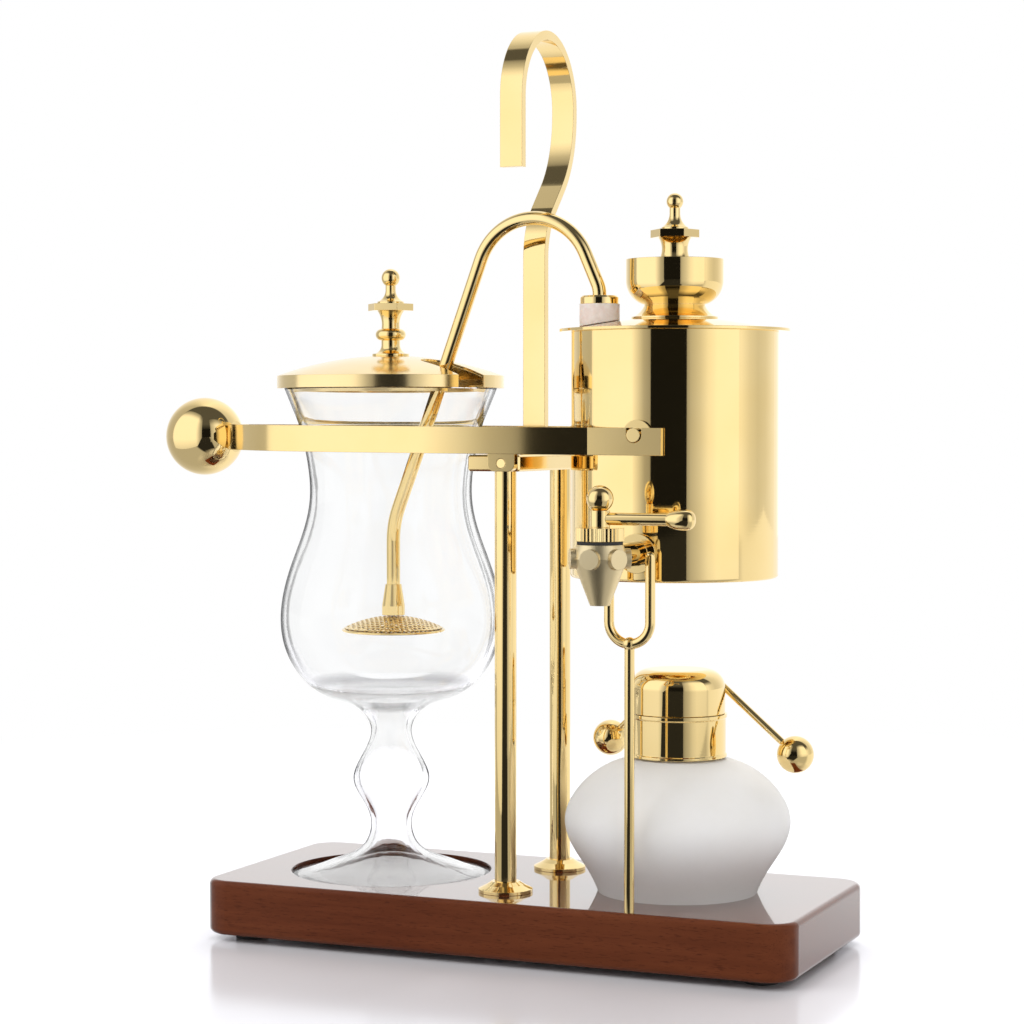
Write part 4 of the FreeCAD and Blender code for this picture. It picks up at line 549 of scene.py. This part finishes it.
def braided_wick():
    """The wick's round braid: strands that wind both ways, over and under each other, drawn in at the tip."""
    low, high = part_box("wick")
    centre = (low + high) / 2
    outside = (high.x - low.x) / 2
    length = high.z - low.z
    paths = []
    for strand in range(WICK_STRANDS):
        way = 1 if strand % 2 else -1
        path = []
        for step in range(WICK_STEPS + 1):
            rise = length * step / WICK_STEPS
            turn = way * FULL_TURN * (rise / WICK_LAY + strand / WICK_STRANDS)
            weave = way * WICK_WEAVE * math.cos(FULL_TURN * rise / WICK_LAY * WICK_STRANDS / 2)
            tip = max(0.0, 1.0 - (length - rise) / WICK_TIP)
            reach = (outside - WICK_STRAND - WICK_WEAVE + weave) * (1.0 - WICK_DRAWN_IN * tip * tip)
            path.append(Vector((
                centre.x + reach * math.cos(turn),
                centre.y + reach * math.sin(turn),
                low.z + WICK_STRAND + rise * (1.0 - 2 * WICK_STRAND / length),
            )))
        paths.append(path)
    mesh = tube_mesh("braided_wick", paths, WICK_STRAND, WICK_SIDES)
    piece = new_piece("braided_wick", mesh, "cotton", "lamp")
    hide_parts("wick")


def filter_dome():
    """The filter's thin domed sheet with its lattice of fine holes, and a rolled edge."""
    low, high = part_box("filter_head")
    centre = (low + high) / 2
    outside = (high.x - low.x) / 2
    inside = outside - 2 * FILTER_ROLL
    edge = low.z + 2 * FILTER_ROLL
    crown = high.z - FILTER_SHEET
    sheet = bmesh.new()

    def on_dome(x, y, depth):
        away = math.hypot(x, y)
        if away > inside:
            x, y, away = x * inside / away, y * inside / away, inside
        height = edge + (crown - edge) * (1.0 - (away / outside) ** 2)
        return sheet.verts.new((centre.x + x, centre.y + y, height - depth))

    def loops(x, y, hole_radius, depth):
        """The outline of a cell and of its hole, on one side of the sheet."""
        cell = []
        hole = []
        for corner in range(FILTER_CORNERS):
            turn = math.radians(360 // FILTER_CORNERS * (corner + 1))
            reach = FILTER_PITCH / math.sqrt(3) * (FILTER_ROW if corner % 2 else 1.0)
            cell.append(on_dome(x + reach * math.cos(turn), y + reach * math.sin(turn), depth))
            hole.append(on_dome(x + hole_radius * math.cos(turn), y + hole_radius * math.sin(turn), depth))
        return cell, hole

    count = int(outside / FILTER_PITCH) + 2
    for row in range(-count, count + 1):
        for column in range(-count, count + 1):
            x = FILTER_PITCH * (column + 0.5 * (row % 2))
            y = FILTER_PITCH * row * FILTER_ROW
            away = math.hypot(x, y)
            if away > inside + FILTER_LAST_CELL:
                continue
            hole_radius = FILTER_HOLE if away < inside - FILTER_LAST_HOLE else FILTER_PIN_HOLE
            cell, hole = loops(x, y, hole_radius, 0.0)
            low_cell, low_hole = loops(x, y, hole_radius, FILTER_SHEET)
            for corner in range(FILTER_CORNERS):
                after = (corner + 1) % FILTER_CORNERS
                sheet.faces.new((cell[corner], cell[after], hole[after], hole[corner]))
                sheet.faces.new((low_cell[after], low_cell[corner], low_hole[corner], low_hole[after]))
                sheet.faces.new((hole[corner], hole[after], low_hole[after], low_hole[corner]))
    bmesh.ops.remove_doubles(sheet, verts=sheet.verts, dist=FILTER_WELD)
    bmesh.ops.dissolve_degenerate(sheet, edges=sheet.edges, dist=FILTER_SLIVER)
    dome = new_piece("filter_dome", smooth_mesh("filter_dome", sheet), "turned_gold", "siphon")
    roll = outside - FILTER_ROLL
    ring = []
    for step in range(FILTER_EDGE_STEPS + 1):
        turn = FULL_TURN * step / FILTER_EDGE_STEPS
        spot = (centre.x + roll * math.cos(turn), centre.y + roll * math.sin(turn), edge - FILTER_ROLL)
        ring.append(Vector(spot))
    mesh = tube_mesh("filter_edge", [ring], FILTER_ROLL, FILTER_EDGE_SIDES)
    rolled = new_piece("filter_edge", mesh, "turned_gold", "siphon")
    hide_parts("filter_head")
    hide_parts("filter_head")


# Studio
def compass(place, stops):
    """A level that depends on the way round that a direction or a place lies."""
    x, y = (coordinate(place, axis) for axis in "XY")
    turn = y.math("ARCTAN2", x) / FULL_TURN + 0.5
    return ramp(turn, tuple((degrees / 360 + 0.5, level) for degrees, level in stops))


def light_path(tree, kind):
    return add_node(tree, "LightPath", output="Is %s Ray" % kind)


def studio_world():
    """White for the camera, bright walls under a dark ceiling in the metal, a backdrop through the glass."""
    world = bpy.data.worlds.new("studio")
    world.use_nodes = True
    tree = world.node_tree
    tree.nodes.clear()
    direction = add_node(tree, "TexCoord", output="Generated")
    height = coordinate(direction, "Z")
    towards_back = direction.node("VectorMath", {"operation": "DOT_PRODUCT"},
                                  {0: direction, 1: STUDIO_BACK}, "Value")
    in_front = ramp(towards_back + 0.5, ((0.47, 1.0), (0.53, 0.0)))
    overhead = ramp(height, ((0.35, 0.0), (0.6, 1.0))) * in_front
    walls = compass(direction, STUDIO_RING) * STUDIO_GAIN
    in_metal = walls + overhead * (CEILING - walls)
    on_matt = MATT_LIGHT + MATT_RISE * ramp(height, ((0.0, 0.0), (0.9, 1.0)))
    through_glass = compass(direction, BACKDROP)
    level = on_matt + light_path(tree, "Glossy") * (in_metal - on_matt)
    level = level + light_path(tree, "Transmission") * (through_glass - level)
    level = level + light_path(tree, "Camera") * (1.0 - level)
    output = tree.nodes.new("ShaderNodeOutputWorld")
    connect(add_node(tree, "Background", sockets={"Color": level, "Strength": 1.0}), output)
    bpy.context.scene.world = world


def softbox(name, start, end, top, cut, stops):
    """A tall lit panel that stands on the floor outside the picture and shows only in reflections."""
    mesh = bpy.data.meshes.new(name)
    run = Vector((end[0] - start[0], end[1] - start[1], 0.0)).normalized()
    foot = Vector((*start, 0.0)) + run * cut
    outline = [foot, (*end, 0.0), (*end, top), (*start, top), (*start, SOFTBOX_CUT_TOP)]
    mesh.from_pydata(outline, [], [range(len(outline))])
    panel = new_object(name, mesh)
    panel.visible_camera = False
    panel.visible_diffuse = False
    panel.visible_transmission = False
    panel.visible_shadow = False
    material, tree, output, place = blank_material(name)
    from_start = place.node("VectorMath", {"operation": "SUBTRACT"}, {0: place, 1: (*start, 0.0)})
    along = place.node("VectorMath", {"operation": "DOT_PRODUCT"}, {0: from_start, 1: run}, "Value")
    level = ramp(along, stops) * ramp(coordinate(place, "Z") / top, SOFTBOX_FALL)
    connect(add_node(tree, "Emission", sockets={"Color": level, "Strength": STUDIO_GAIN}), output)
    mesh.materials.append(material)


def studio_floor():
    """A white glossy table top. It runs out into white for the camera, and into the studio in the metal."""
    mesh = bpy.data.meshes.new("floor")
    half = FLOOR_SIZE / 2
    outline = [(-half, -half, 0), (half, -half, 0), (half, half, 0), (-half, half, 0)]
    mesh.from_pydata(outline, [], [range(len(outline))])
    floor = new_object("floor", mesh)
    material, tree, output, place = blank_material("floor_white")
    away = place.node("VectorMath", {"operation": "LENGTH"}, {0: place}, "Value")
    in_metal = light_path(tree, "Glossy") * (1.0 - light_path(tree, "Transmission"))
    start = FLOOR_NEAR + in_metal * (TABLE_EDGE - FLOOR_NEAR)
    end = FLOOR_FAR + in_metal * (TABLE_OUT - FLOOR_FAR)
    fade = ramp((away - start) / (end - start), ((0.0, 0.0), (1.0, 1.0)))
    matt = add_node(tree, "BsdfDiffuse", sockets={"Color": mixed(in_metal, TABLE_WHITE, TABLE_IN_METAL)})
    mirror = add_node(tree, "BsdfGlossy", sockets={"Color": TABLE_GLOSS, "Roughness": 0.16})
    beyond = mixed(in_metal, WHITE, compass(place, TABLE_RING) * STUDIO_GAIN)
    glow = add_node(tree, "Emission", sockets={"Color": beyond, "Strength": 1.0})
    connect(layered(fade, layered(FLOOR_MIRROR, matt, mirror), glow), output)
    mesh.materials.append(material)


def soft_light(name, place, target, size, power):
    """A square softbox that lights the object and isn't seen in the metal."""
    data = bpy.data.lights.new(name, "AREA")
    data.size = size
    data.energy = power
    light = new_object(name, data)
    light.location = place
    light.rotation_mode = "QUATERNION"
    light.rotation_quaternion = (Vector(target) - Vector(place)).to_track_quat("-Z", "Y")
    light.visible_glossy = False
    light.visible_transmission = False
    light.visible_camera = False


def photo_camera():
    """The camera that took the photograph, as fitted to it."""
    data = bpy.data.cameras.new("photo_camera")
    data.lens = CAMERA_LENS
    data.sensor_width = CAMERA_SENSOR
    camera = new_object("photo_camera", data)
    level = math.cos(CAMERA_PITCH)
    forward = Vector((-math.sin(CAMERA_YAW) * level, math.cos(CAMERA_YAW) * level, -math.sin(CAMERA_PITCH)))
    right = Vector((math.cos(CAMERA_YAW), math.sin(CAMERA_YAW), 0.0))
    turn = Matrix((right, right.cross(forward), -forward)).transposed()
    camera.matrix_world = Matrix.Translation(CAMERA_PLACE) @ turn.to_4x4()
    bpy.context.scene.camera = camera


finish_nodes()
filter_dome()
braided_wick()
studio_world()
studio_floor()
softbox("left_softbox", *LEFT_BOX)
softbox("right_softbox", *RIGHT_BOX)
for soft_light_settings in SOFT_LIGHTS:
    soft_light(*soft_light_settings)
photo_camera()
bpy.context.scene.view_settings.view_transform = "Standard"
